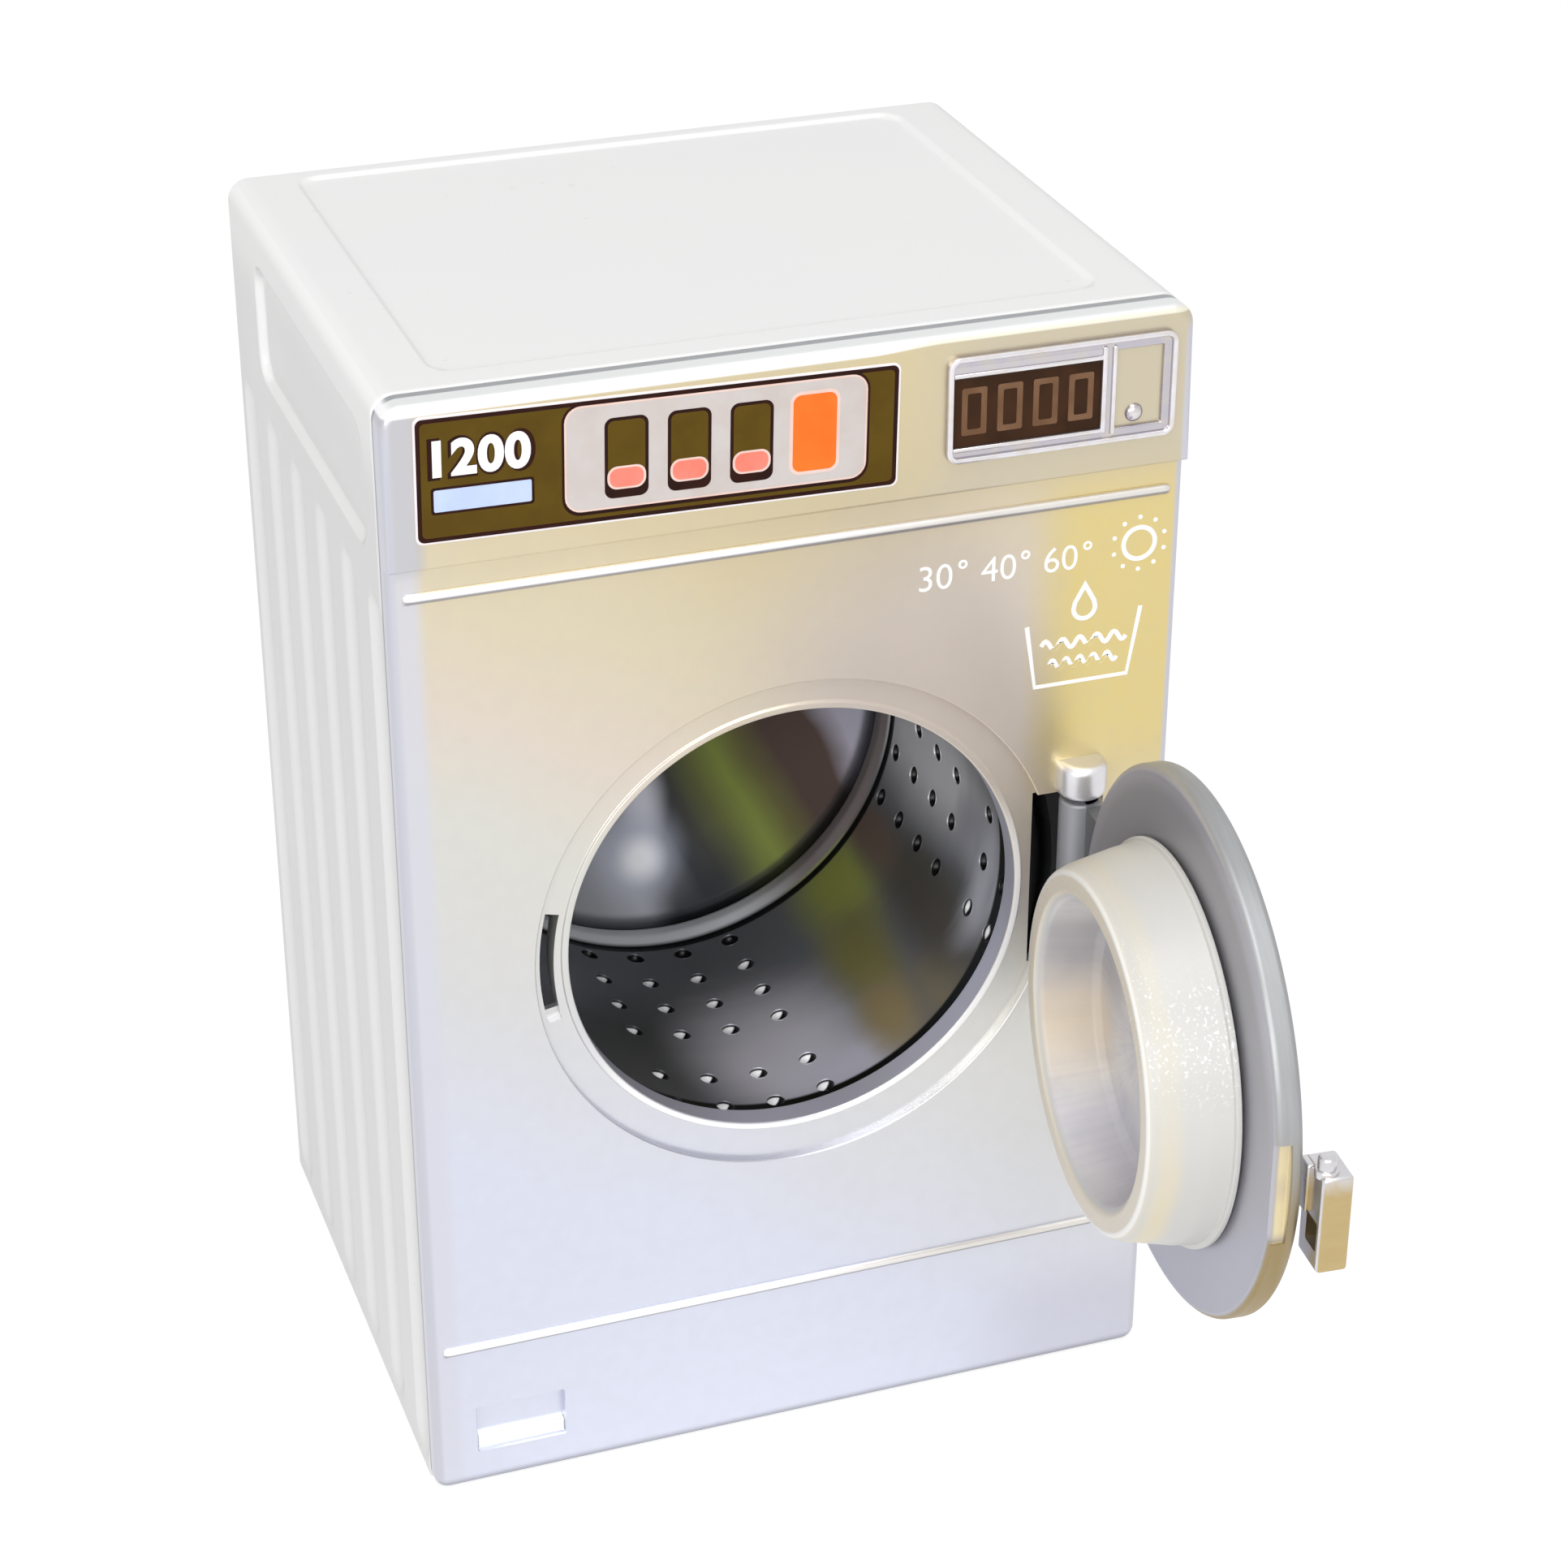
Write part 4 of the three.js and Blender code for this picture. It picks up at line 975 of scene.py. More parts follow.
def stickerNumber():
    u0, u1, v0, v1 = sticker["numberBox"]
    for name, ink, level, grow, room in (("stickerNumberEdge", darkInk, 3, 0.27, 0.16),
                                         ("stickerNumber", whiteInk, 4, 0.17, 0.0)):
        box = (u0, u1, v0 - room, v1 + room)
        face = layerFace(level)
        stickerPiece(name, lettering(sticker["number"], box, face + 0.02, face, grow, 1.08), ink)


stickerGround()
stickerPatches()
stickerSliders()
stickerNumber()
print("sticker made")


# White prints on the face

prints = {
    "back": -20.19, "face": -20.225, "line": 0.30,
    "numbers": (("30", 7.5), ("40", 11.6), ("60", 15.7)), "numberWidth": 2.6,
    "numberFoot": 60.1, "numberHead": 61.75,
    "degreeX": 3.05, "degreeZ": 61.55, "degreeRadius": 0.3, "sun": (22.2, 61.2), "sunRadius": 1.05,
    "rays": {"Count": 10, "Radius": 1.75, "Centre X": 22.2, "Centre Z": 61.2}, "rayRadius": 0.15,
    "tub": [(14.9, 56.6), (15.55, 52.35), (21.75, 52.35), (22.5, 56.9)],
    "wave": (15.9, 55.1), "waveHeight": 0.32, "waveLength": 1.15, "lowWave": (0.8, 3.75, 1.35),
    "drop": (18.7, 58.9), "dropX": 18.7, "dropZ": 57.35, "dropRadius": 0.72,
}


def degreeMark(x):
    p = prints
    outer, inner = (circlePoints(x, p["degreeZ"], r, 20) for r in (p["degreeRadius"], p["degreeRadius"] / 2))
    return plate(outer, p["back"], p["face"], 0.004, [inner], 0.004, 1)


def waves():
    p = prints
    x, z = p["wave"]
    turn = 2 * math.pi / p["waveLength"]
    upper = [(x + 0.1 * k, z + p["waveHeight"] * math.sin(0.1 * k * turn)) for k in range(58)]
    share, aside, below = p["lowWave"]
    lower = [(u * share + aside, v - below) for u, v in upper]
    return [ribbon(path, width, p["back"], p["face"])
            for path, width in ((upper, p["line"]), (lower, p["line"] * 0.9))]


def facePrints():
    p = prints
    back, face, line = p["back"], p["face"], p["line"]
    shapes = []
    for text, left in p["numbers"]:
        box = (left, left + p["numberWidth"], p["numberFoot"], p["numberHead"])
        shapes += [lettering(text, box, back, face, -0.02), degreeMark(left + p["degreeX"])]
    shapes.append(ribbon(circlePoints(*p["sun"], p["sunRadius"], 48), line, back, face, closed=True))
    shapes.append(ribbon(p["tub"], line, back, face))
    shapes += waves()
    bowl = arcPoints(p["dropX"], p["dropZ"], p["dropRadius"], 155, 385, 20)
    drop = [p["drop"], (p["dropX"] - 0.65, 57.75), *bowl, (p["dropX"] + 0.65, 57.75)]
    shapes.append(ribbon(drop, line, back, face, closed=True))
    piece("facePrints", joined(*shapes), whiteInk, "cabinet")
    dot = plate(circlePoints(0, 0, p["rayRadius"], 12), back, face, 0.004, (), 0, 1)
    finished("faceDots", ringOfCopies(dot, whiteInk, p["rays"]), None, "cabinet")


facePrints()
print("prints made")


# Cabinet

cabinet = {
    "halfWidth": 25.0, "height": 76.7, "wall": 1.3, "corner": 1.4, "front": -18.6, "back": 20.2, "edge": 0.3,
    "footEdge": 0.25, "topHalf": 20.7, "topFront": -16.2, "topBack": 18.8, "topRadius": 1.6, "topDepth": 0.25,
    "gripFront": -15.6, "gripBack": 12.8, "gripFoot": 66.0, "gripHead": 73.6, "gripDepth": 0.55,
    "gripRadius": 1.8, "soft": 0.42, "postY": (11.6, 18.5),
}
fluteInputs = {
    "Count": 6, "First": -17.0, "Pitch": 6.85, "Width": 3.7, "Depth": 0.42, "Foot": 1.0, "Head": 63.9,
}
# the sides' tone and the flute and facing tones are painted shade and light
plastic = {
    "main": ("efefed", "ebecec"), "sides": ("e3e2e2", "dedddd"), "speck": "b9b4ac",
    "fluteFrontShade": "c6c8ca", "fluteBackLight": "f4f4f4", "facingUpLight": "f6f6f5", "facingDownShade": "bfc2c4",
}
cover = {
    "half": 23.4, "foot": 0.02, "head": 75.1, "inside": 18.8, "outside": 20.0,
    "field": (-14.4, 14.4, 9.0, 66.1), "fieldFace": 20.15,
    "screwX": 22.0, "screwFoot": 5.0, "screwHead": 71.7, "screwHole": 0.9,
}
baseBoard = {"half": 23.4, "front": -18.5, "back": 18.5, "height": 1.3}
screw = {
    "shank": 0.7, "headRadius": 1.5, "headHeight": 0.8, "slotFloor": 0.45, "slotHalf": 0.2,
    "rear": (4.5, 20.3), "tub": (4.2, -13.8),
}


def whitePlastic():
    # moulded white plastic with a soft sheen and faint flow marks; its sides carry painted shade and light:
    # darker overall, darker where they face back or down, lighter where they face forward or up
    material, graph, shader = newMaterial("white plastic", {"IOR": 1.48, "Metallic": 0.0})
    place = objectPlace(graph)
    x, _, z = placeParts(graph, place)
    cloud = noise(graph, place, 60.0, 3.0)
    peel = noise(graph, place, 1400.0, 2.0)
    speck = graph.step(noise(graph, place, 1100.0, 1.0), 0.77, 0.80)
    _, backward, upward = facingParts(graph)
    side = graph.step(graph.math("ABSOLUTE", x), 24.3, 24.5)
    tone = graph.mixed(cloud, *plastic["main"])
    # painted shade and light on the sides, by the way they face
    tone = graph.blend(side * graph.step(z, 74.5, 70.0), tone, graph.mixed(cloud, *plastic["sides"]))
    tone = graph.tint(tone, side * graph.step(backward, 0.02, 0.35) * 0.5, plastic["fluteFrontShade"])
    tone = graph.tint(tone, side * graph.step(backward, -0.04, -0.35) * 0.4, plastic["fluteBackLight"])
    tone = graph.tint(tone, side * graph.step(upward, 0.10, 0.60) * 0.6, plastic["facingUpLight"])
    tone = graph.tint(tone, side * graph.step(upward, -0.10, -0.60) * 0.6, plastic["facingDownShade"])
    feed(graph, shader, {
        "Base Color": graph.tint(tone, speck * 0.12, plastic["speck"]),
        "Roughness": 0.36 + cloud * 0.10 + peel * 0.05,
        "Normal": bump(graph, peel, 0.10, 0.00005),
    })
    return material


def lines(*spans):
    # spans of (start, end, step) as one rising list
    values = set()
    for start, end, step in spans:
        count = max(1, round((end - start) / step))
        values |= {round(start + (end - start) * k / count, 4) for k in range(count + 1)}
    return sorted(values)


def nearly(value):
    # a span of fine steps where a sunk field begins or ends
    return value - 0.35, value + 0.35, 0.1


def skinLines():
    # the lines of the skin's grid along X, Y and Z, close together where it bends
    c = cabinet
    start, end, half, side = c["front"], c["back"], c["topHalf"], c["halfWidth"] - c["corner"]
    foot, head, top = c["gripFoot"], c["gripHead"], c["height"] - c["corner"]
    xs = lines((-side, -half - 0.35, 0.4), nearly(-half), (-half + 0.35, -18, 0.4), (-18, 18, 1.5),
               (18, half - 0.35, 0.4), nearly(half), (half + 0.35, side, 0.4))
    ys = lines((start, start + 0.3, 0.05), (start + 0.3, end - 0.3, 0.34), nearly(c["gripFront"]),
               nearly(c["topFront"]), nearly(c["gripBack"]), nearly(c["topBack"]), (end - 0.3, end, 0.05))
    zs = lines((0, 0.3, 0.06), (0.3, 3.2, 0.29), (3.2, foot - 4.6, 2.9), (foot - 4.6, foot - 1.8, 0.2),
               (foot - 1.8, foot - 0.3, 0.5), (foot - 0.3, foot + 0.3, 0.1), (foot + 0.3, foot + 2, 0.3),
               (foot + 2, head - 2, 0.6), (head - 2, head - 0.3, 0.3), (head - 0.3, head + 0.3, 0.1),
               (head + 0.3, top, 0.25))
    return xs, ys, zs


def skinPath(xs, zs):
    # up the left side, over the top and down the right side, as (x, z) and the way each place faces
    w, h, r = cabinet["halfWidth"], cabinet["height"], cabinet["corner"]
    path = [(-w, z, -1, 0) for z in zs[:-1]]
    for side in (-1, 1):
        for k in range(13):
            a = math.pi / 2 * (k / 12 if side < 0 else 1 - k / 12)
            nx, nz = side * math.cos(a), math.sin(a)
            path.append((side * (w - r) + r * nx, h - r + r * nz, nx, nz))
        if side < 0:
            path += [(x, h, 0, 1) for x in xs[1:-1]]
    return path + [(w, z, 1, 0) for z in zs[:-1][::-1]]


def sunkBy(u, v, u0, u1, v0, v1, radius, depth):
    # how far a soft-edged field is sunk at a point
    du = abs(u - (u0 + u1) / 2) - (u1 - u0) / 2 + radius
    dv = abs(v - (v0 + v1) / 2) - (v1 - v0) / 2 + radius
    away = math.hypot(max(du, 0), max(dv, 0)) + min(max(du, dv), 0) - radius
    share = min(1.0, max(0.0, 0.5 - away / cabinet["soft"]))
    return depth * share * share * (3 - 2 * share)


def roundedOff(radius, toEdge):
    # how far a rounded edge falls back at a distance from it
    return radius - math.sqrt(max(0, radius ** 2 - max(0, radius - toEdge) ** 2))


def cabinetSkin():
    c = cabinet
    xs, ys, zs = skinLines()
    path = skinPath(xs, zs)
    half = c["topHalf"]
    points = []
    for x, z, nx, nz in path:
        for y in ys:
            toEdge = min(y - c["front"], c["back"] - y)
            sunk = roundedOff(c["edge"], toEdge) + roundedOff(c["footEdge"], z)
            if nz == 1:
                sunk += sunkBy(x, y, -half, half, c["topFront"], c["topBack"], c["topRadius"], c["topDepth"])
            if nz == 0:
                sunk += sunkBy(y, z, c["gripFront"], c["gripBack"], c["gripFoot"], c["gripHead"],
                               c["gripRadius"], c["gripDepth"])
            points.append((x - nx * sunk, y, z - nz * sunk))
    outer = len(points)
    for x, z, nx, nz in path:
        points += [(x - nx * c["wall"], y, z - nz * c["wall"]) for y in ys]
    rows, columns = len(path), len(ys)
    at = lambda i, j, skin=0: skin * outer + i * columns + j
    faces = []
    for i in range(rows - 1):
        for j in range(columns - 1):
            faces.append((at(i, j), at(i + 1, j), at(i + 1, j + 1), at(i, j + 1)))
            faces.append((at(i, j + 1, 1), at(i + 1, j + 1, 1), at(i + 1, j, 1), at(i, j, 1)))
        for j in (0, columns - 1):
            faces.append((at(i, j), at(i, j, 1), at(i + 1, j, 1), at(i + 1, j)))
    for j in range(columns - 1):
        for i in (0, rows - 1):
            faces.append((at(i, j), at(i, j + 1), at(i, j + 1, 1), at(i, j, 1)))
    return tidied(points, faces)


def fluted(shape, material, inputs):
    # upright flutes with rounded heads, pressed into both sides
    graph, given = geometryTree("flutes", inputs)
    x, y, z = graph.parts(graph.node("GeometryNodeInputPosition"))
    radius = given["Width"] * 0.5
    nearest = graph.math("ROUND", (y - given["First"]) / given["Pitch"])
    nearest = graph.smaller(graph.larger(nearest, 0.0), given["Count"] - 1.0)
    across = y - given["First"] - nearest * given["Pitch"]
    beyond = graph.larger(graph.larger(given["Foot"] + radius - z, z - given["Head"] + radius), 0.0)
    share = graph.larger(1.0 - (across * across + beyond * beyond) / (radius * radius), 0.0)
    depth = given["Depth"] * share ** 1.35
    side = graph.math("SIGN", x)
    onSide = graph.math("GREATER_THAN", graph.math("ABSOLUTE", x), 24.55)
    offset = graph.vector(0.0 - side * depth * onSide, 0.0, 0.0)
    pressed = graph.node("GeometryNodeSetPosition", None, {"Geometry": given["Geometry"], "Offset": offset})
    closeTree(graph, pressed, material)
    return grown(shape, graph, inputs)


def screwPlaces():
    half, heights = cover["screwX"], (cover["screwFoot"], cover["screwHead"])
    return [(x, z) for x in (-half, half) for z in heights]


def coverPosts():
    start, end = cabinet["postY"]
    hole = cover["screwHole"]
    post = filleted([(hole, start), (2.0, start - 0.1, 0.3), (2.0, end, 0.15), (hole, end, 0.1)], 3)
    return joined(*[lathe(post, place, 32) for place in screwPlaces()])


def rearCover():
    c = cover
    holes = [circlePoints(x, z, c["screwHole"], 24) for x, z in screwPlaces()]
    outline = roundedRectangle(-c["half"], c["half"], c["foot"], c["head"], 0.5, 4)
    body = plate(outline, c["inside"], c["outside"], 0.2, holes, 0.12, 4)
    field = plate(roundedRectangle(*c["field"], 1.2, 6), c["outside"] - 0.1, c["fieldFace"], 0.14, (), 0, 4)
    return joined(body, field)


def basePlate():
    b = baseBoard
    return roundedBox(-b["half"], b["half"], b["front"], b["back"], 0.0, b["height"], 0.15, 2)


def screwShape(length):
    # a pan head with one slot, its head towards the back
    s = screw
    r, shank, top, half = s["headRadius"], s["shank"], s["headHeight"], s["slotHalf"]
    profile = filleted([
        (0, top), (0.95, top - 0.02, 0.3), (r - 0.05, 0.3, 0.3), (r, 0.0, 0.05),
        (shank, 0.0), (shank, -length, 0.2), (0, -length),
    ], 4, closed=False)
    slot = roundedBox(-r - 0.3, r + 0.3, s["slotFloor"], 1.4, -half, half, 0.02, 1)
    return carved(lathe(profile, (0, 0), 32, closed=False), slot)


def fourScrews(size, half, foot, head):
    length, y = size
    places = {"Columns": 2, "Rows": 2, "First X": -half, "First Z": foot,
              "Column step": 2 * half, "Row step": head - foot}
    return gridOfCopies(placed(screwShape(length), Matrix.Translation((0, y, 0))), steel, places)


white = whitePlastic()
skin = fluted(cabinetSkin(), white, fluteInputs)
finished("cabinetSkin", skin, None, "cabinet", ["cabinet_shell"], 50)
piece("cabinetPosts", coverPosts(), white, "cabinet", ["cabinet_shell"])
piece("rearCover", rearCover(), white, "cabinet", ["back_cover"])
piece("basePlate", basePlate(), white, "cabinet", ["base_plate"])
rearScrews = fourScrews(screw["rear"], cover["screwX"], cover["screwFoot"], cover["screwHead"])
finished("rearScrews", rearScrews, None, "cabinet", [f"back_screw_{i}" for i in (1, 2, 3, 4)])
reach, middle = front["postReach"], front["openingZ"]
tubScrews = fourScrews(screw["tub"], reach, middle - reach, middle + reach)
finished("tubScrews", tubScrews, None, "cabinet", [f"tub_screw_{i}" for i in (1, 2, 3, 4)])
print("cabinet made")


# Drum

drum = {
    "radius": 16.4, "wall": 0.9, "front": -18.3, "back": 8.1, "axisZ": 38.4,
    "beadWidth": 2.1, "beadRise": 0.6,
}
holeInputs = {
    "Rows": 6, "Columns": 4, "Blocks": 4, "First row": 4.6, "Row pitch": 3.5, "Rows behind gap": 4,
    "Extra gap": 2.25, "Column pitch": 3.5, "Turn": 5.0, "Radius": drum["radius"], "Wall": drum["wall"],
    "Dish radius": 0.64, "Bore radius": 0.16, "Lip": 0.05,
}
dome = {
    "rim": 15.8, "rimY": 8.4, "depth": 4.0, "wall": 0.8, "flange": 17.3,
    "hubRadius": 3.0, "hubHole": 1.3, "hubFront": 13.2, "hubBack": 14.7,
}

# painted reflections on the wall: angle and depth of the middle, half sizes of both, colour
wallTones = {
    "main": ("7f8086", "6e6f75"), "crest": ("f8fbff", "8c8382"), "shade": "09090a", "hole": "060607",
    "litEdge": "fdfdff",
    "fields": [
        (205, -10, 42, 9, "57585b"), (171, -10, 24, 9, "d2d0da"), (160, -15, 17, 4, "cccad8"),
        (136, 3, 14, 7, "a5ac5a"), (142, -5, 11, 7, "8d8856"), (144, -12, 9, 5, "a3926b"),
        (130, -14, 9, 5, "8a816c"), (121, -7, 11, 12, "605c55"), (122, 4, 7, 6, "7d6a60"),
        (90, 0, 20, 13, "fbfbff"), (98, -11, 10, 5, "b8b8c4"), (104, -12.4, 18, 2.6, "d4d4de"),
    ],
}

# the dome's painted reflections across it, and its painted highlights: x and z of the middle, half sizes of
# both, share, colour
domeTones = {
    "across": [(0.02, "a9adb5"), (0.14, "b2b6c0"), (0.24, "8e929b"), (0.33, "3c3f45"), (0.40, "3b3b37"),
               (0.48, "50542f"), (0.58, "6b7533"), (0.66, "55532f"), (0.74, "463731"), (0.86, "4b3c36"),
               (0.94, "a29fac"), (1.0, "a3a3b0")],
    "paintedHighlights": [(-0.6, 31.0, 2.4, 4.0, 0.9, "dfe1ec"), (-1.6, 27.6, 4.6, 4.4, 0.8, "cfd5e8"),
              (-1.1, 27.0, 2.4, 2.3, 1.0, "f6f9ff")],
    "low": "202326", "edge": "3a3b3e",
}


def darkChrome():
    # dark nickel film on the drum's wall, with painted reflections in soft fields round it
    material, graph, shader = newMaterial("dark chrome film", {})
    place = objectPlace(graph)
    x, y, z = placeParts(graph, place)
    r, bead = drum["radius"], drum["back"] - drum["beadWidth"]
    fromAxis = z - drum["axisZ"]
    radius = graph.length(x, fromAxis)
    angle = graph.math("ARCTAN2", 0.0 - x, 0.0 - fromAxis) * (180 / math.pi) + 180.0
    cloud = noise(graph, place, 70.0, 3.0)
    fine = noise(graph, place, 2500.0, 3.0)
    streak = noise(graph, stretched(graph, place, (0.6, 2.2, 0.6)), 190.0, 3.0)
    tone = graph.mixed(cloud, *wallTones["main"])
    for atAngle, atDepth, halfAngle, halfDepth, colour in wallTones["fields"]:
        aside = (angle - atAngle + (cloud - 0.5) * 7.0) / halfAngle
        along = (y - atDepth + (streak - 0.5) * 4.0) / halfDepth
        tone = graph.tint(tone, graph.step(graph.length(aside, along), 1.30, 0.25), colour)

    # a painted highlight on the bead at the back and painted shade in the groove before it; painted shade
    # along the mouth's edge in a curve
    crest = graph.step(radius, r - 0.08, r - 0.28)
    tone = graph.blend(crest, tone, graph.mixed(graph.step(angle, 168.0, 138.0), *wallTones["crest"]))
    groove = graph.band(y, (bead - 0.55, bead - 0.35), (bead + 0.05, bead + 0.25))
    groove = groove * graph.step(radius, r - 0.12, r - 0.08)
    mouth = 0.0005 * (angle - 155.0) * (angle - 155.0) - 16.2
    shade = graph.larger(groove, graph.step(y - mouth, 0.75, 0.45))
    tone = graph.tint(tone, shade * graph.step(radius, r + 0.12, r + 0.06), wallTones["shade"])

    # painted shade inside the holes, and painted highlights on the edges that the light catches
    outside = r + drum["wall"]
    hole = graph.band(radius, (r + 0.06, r + 0.10), (outside + 0.15, outside + 0.25))
    tone = graph.tint(tone, hole, wallTones["hole"])
    rightward, backward, _ = facingParts(graph)
    lit = graph.step(rightward * 0.6 - backward, 0.22, 0.42) * graph.step(radius, r + 0.14, r + 0.24) * hole
    nearMouth = graph.step(y, -8.3, -8.7) * graph.step(angle, 106.0, 110.0)
    lit = lit * graph.larger(graph.step(angle, 140.0, 145.0), nearMouth)
    lit = lit * graph.step(angle, 319.0, 315.0) * graph.step(y, 3.8, 3.6)
    feed(graph, shader, {
        "Base Color": graph.tint(tone, lit, wallTones["litEdge"]),
        "Metallic": 0.25 - lit * 0.25,
        "Roughness": 0.30 + cloud * 0.08 + fine * 0.03,
        "Normal": bump(graph, cloud * 2.0 + fine * 0.1, 0.06, 0.0004),
    })
    return material


def paintedReflectionChrome():
    # the domed back, with painted reflections running from bright through olive to brown, painted shade low
    # down and at its edge, and painted highlights
    material, graph, shader = newMaterial("chrome film with painted reflections", {})
    place = objectPlace(graph)
    x, _, z = placeParts(graph, place)
    cloud = noise(graph, place, 120.0, 3.0)
    fine = noise(graph, place, 2500.0, 3.0)
    across = x + (z - 30.0) * 0.45 + (cloud - 0.5) * 2.2
    tone = graph.ramp(domeTones["across"], across * 0.040 + 0.3)
    # painted shade low on the dome
    low = graph.step(z - x * 0.35, 27.5, 22.5) * graph.band(x, (-1.5, 1.5), (4.0, 8.0))
    tone = graph.tint(tone, low * 0.9, domeTones["low"])
    for atX, atZ, halfX, halfZ, share, colour in domeTones["paintedHighlights"]:
        glow = graph.step(graph.length((x - atX) / halfX, (z - atZ) / halfZ), 1.0, 0.1)
        tone = graph.tint(tone, glow * share, colour)
    # painted shade round the dome's edge
    edge = graph.step(graph.length(x, z - drum["axisZ"]), 15.0, 15.6)
    feed(graph, shader, {
        "Base Color": graph.tint(tone, edge * 0.6, domeTones["edge"]),
        "Metallic": 0.70 + glow * 0.30,
        "Roughness": 0.26 + cloud * 0.08 + fine * 0.03,
        "Normal": bump(graph, cloud * 2.0 + fine * 0.1, 0.06, 0.0004),
    })
    return material


def drumWall():
    d = drum
    r, crest, back = d["radius"], d["radius"] - d["beadRise"], d["back"]
    profile = filleted([
        (r + d["wall"], d["front"], 0.2), (r + d["wall"], back, 0.1), (crest + 0.25, back, 0.2),
        (crest, back - 0.5, 0.5), (crest, back - 1.3, 0.6), (r, back - d["beadWidth"], 0.6),
        (r, d["front"], 0.25),
    ], 5)
    return lathe(profile, (0, 0), 168)


def perforated(shape, material, inputs):
    # blocks of holes through the drum wall, each with a rolled lip inside
    graph, given = geometryTree("perforations", inputs)
    index = graph.node("GeometryNodeInputIndex")
    row = graph.math("MODULO", index, given["Rows"])
    column = graph.math("MODULO", graph.math("FLOOR", index / given["Rows"]), given["Columns"])
    block = graph.math("FLOOR", index / (given["Rows"] * given["Columns"]))
    past = graph.math("GREATER_THAN", row, given["Rows behind gap"] - 0.5)
    y = given["First row"] - given["Row pitch"] * row - given["Extra gap"] * past
    step = column - (given["Columns"] - 1.0) * 0.5
    angle = (180.0 + given["Turn"]) * (math.pi / 180) + block * (2 * math.pi) / given["Blocks"]
    angle = angle + step * given["Column pitch"] / given["Radius"]
    turn = graph.node("FunctionNodeEulerToRotation", None, {0: graph.vector(0.0, angle, 0.0)})

    def copiesAt(distance, instance):
        place = graph.vector(graph.math("SINE", angle) * distance, y, graph.math("COSINE", angle) * distance)
        count = given["Rows"] * given["Columns"] * given["Blocks"]
        points = graph.node("GeometryNodePoints", None, {0: count, 1: place})
        copies = graph.node("GeometryNodeInstanceOnPoints", None,
                            {"Points": points, "Instance": instance, "Rotation": turn})
        return graph.node("GeometryNodeRealizeInstances", None, {"Geometry": copies})

    def cut(body, tools):
        settings = {"operation": "DIFFERENCE", "solver": "EXACT"}
        return graph.node("GeometryNodeMeshBoolean", settings, {"Mesh 1": body, "Mesh 2": tools})

    dish = graph.node("GeometryNodeMeshUVSphere", None,
                      {"Segments": 20, "Rings": 10, "Radius": given["Dish radius"]})
    bore = graph.node("GeometryNodeMeshCylinder", None,
                      {"Vertices": 14, "Radius": given["Bore radius"], "Depth": given["Wall"] * 2.0})
    loop = graph.node("GeometryNodeCurvePrimitiveCircle", None,
                      {"Resolution": 20, "Radius": given["Dish radius"] + given["Lip"] * 0.4})
    section = graph.node("GeometryNodeCurvePrimitiveCircle", None, {"Resolution": 6, "Radius": given["Lip"]})
    lip = graph.node("GeometryNodeCurveToMesh", None, {"Curve": loop, "Profile Curve": section})
    dished = cut(given["Geometry"], copiesAt(given["Radius"] - 0.06, dish))
    pierced = cut(dished, copiesAt(given["Radius"] + given["Wall"], bore))
    lips = copiesAt(given["Radius"] + given["Lip"] * 0.55, lip)
    both = graph.node("GeometryNodeJoinGeometry", None, {0: lips})
    graph.tree.links.new(pierced.socket, both.socket.node.inputs[0])
    closeTree(graph, both, material)
    return grown(shape, graph, inputs)


def roundNormals(mesh, radii, axisZ):
    # exact normals on the drum's round walls, so that the holes leave them unbent
    mesh.shade_smooth()
    mesh.set_sharp_from_angle(angle=math.radians(40))
    normals = [Vector(n.vector) for n in mesh.corner_normals]
    for polygon in mesh.polygons:
        outward = Vector((polygon.center.x, 0, polygon.center.z - axisZ)).normalized()
        facing = polygon.normal.dot(outward)
        if abs(facing) < 0.9:
            continue
        corners = [mesh.vertices[v].co for v in polygon.vertices]
        sizes = [math.hypot(c.x, c.z - axisZ) for c in corners]
        if not any(all(abs(s - r) < 0.02 for s in sizes) for r in radii):
            continue
        for k, corner in zip(polygon.loop_indices, corners):
            normals[k] = Vector((corner.x, 0, corner.z - axisZ)).normalized() * (1 if facing > 0 else -1)
    mesh.normals_split_custom_set(normals)


def drumDome():
    d = dome
    rim, rimY, depth, wall = d["rim"], d["rimY"], d["depth"], d["wall"]
    hub, hole, near, far = d["hubRadius"], d["hubHole"], d["hubFront"], d["hubBack"]
    inside = [(rim * k / 28, rimY + depth * math.cos(k / 28 * math.pi / 2)) for k in range(29)]
    outside = [(r, y + wall) for r, y in inside if r > hub + 0.2][::-1]
    edge = [(d["flange"], rimY), (d["flange"], rimY + wall)]
    socket = [(hub, near), (hub, far), (hole, far), (hole, near), (0, near)]
    return lathe([*inside, *edge, *outside, *socket], (0, drum["axisZ"]), 144, closed=False)


wallMesh = perforated(drumWall(), darkChrome(), holeInputs)
wallMesh.transform(Matrix.Translation((0, 0, drum["axisZ"])))
roundNormals(wallMesh, (drum["radius"], drum["radius"] + drum["wall"]), drum["axisZ"])
finished("drumWall", wallMesh, None, "drum", ["drum_shell"], weighted=False)
piece("drumDome", drumDome(), paintedReflectionChrome(), "drum", ["drum_back"], 40)
print("drum made")


# Door, shaped closed and turned open about its hinge

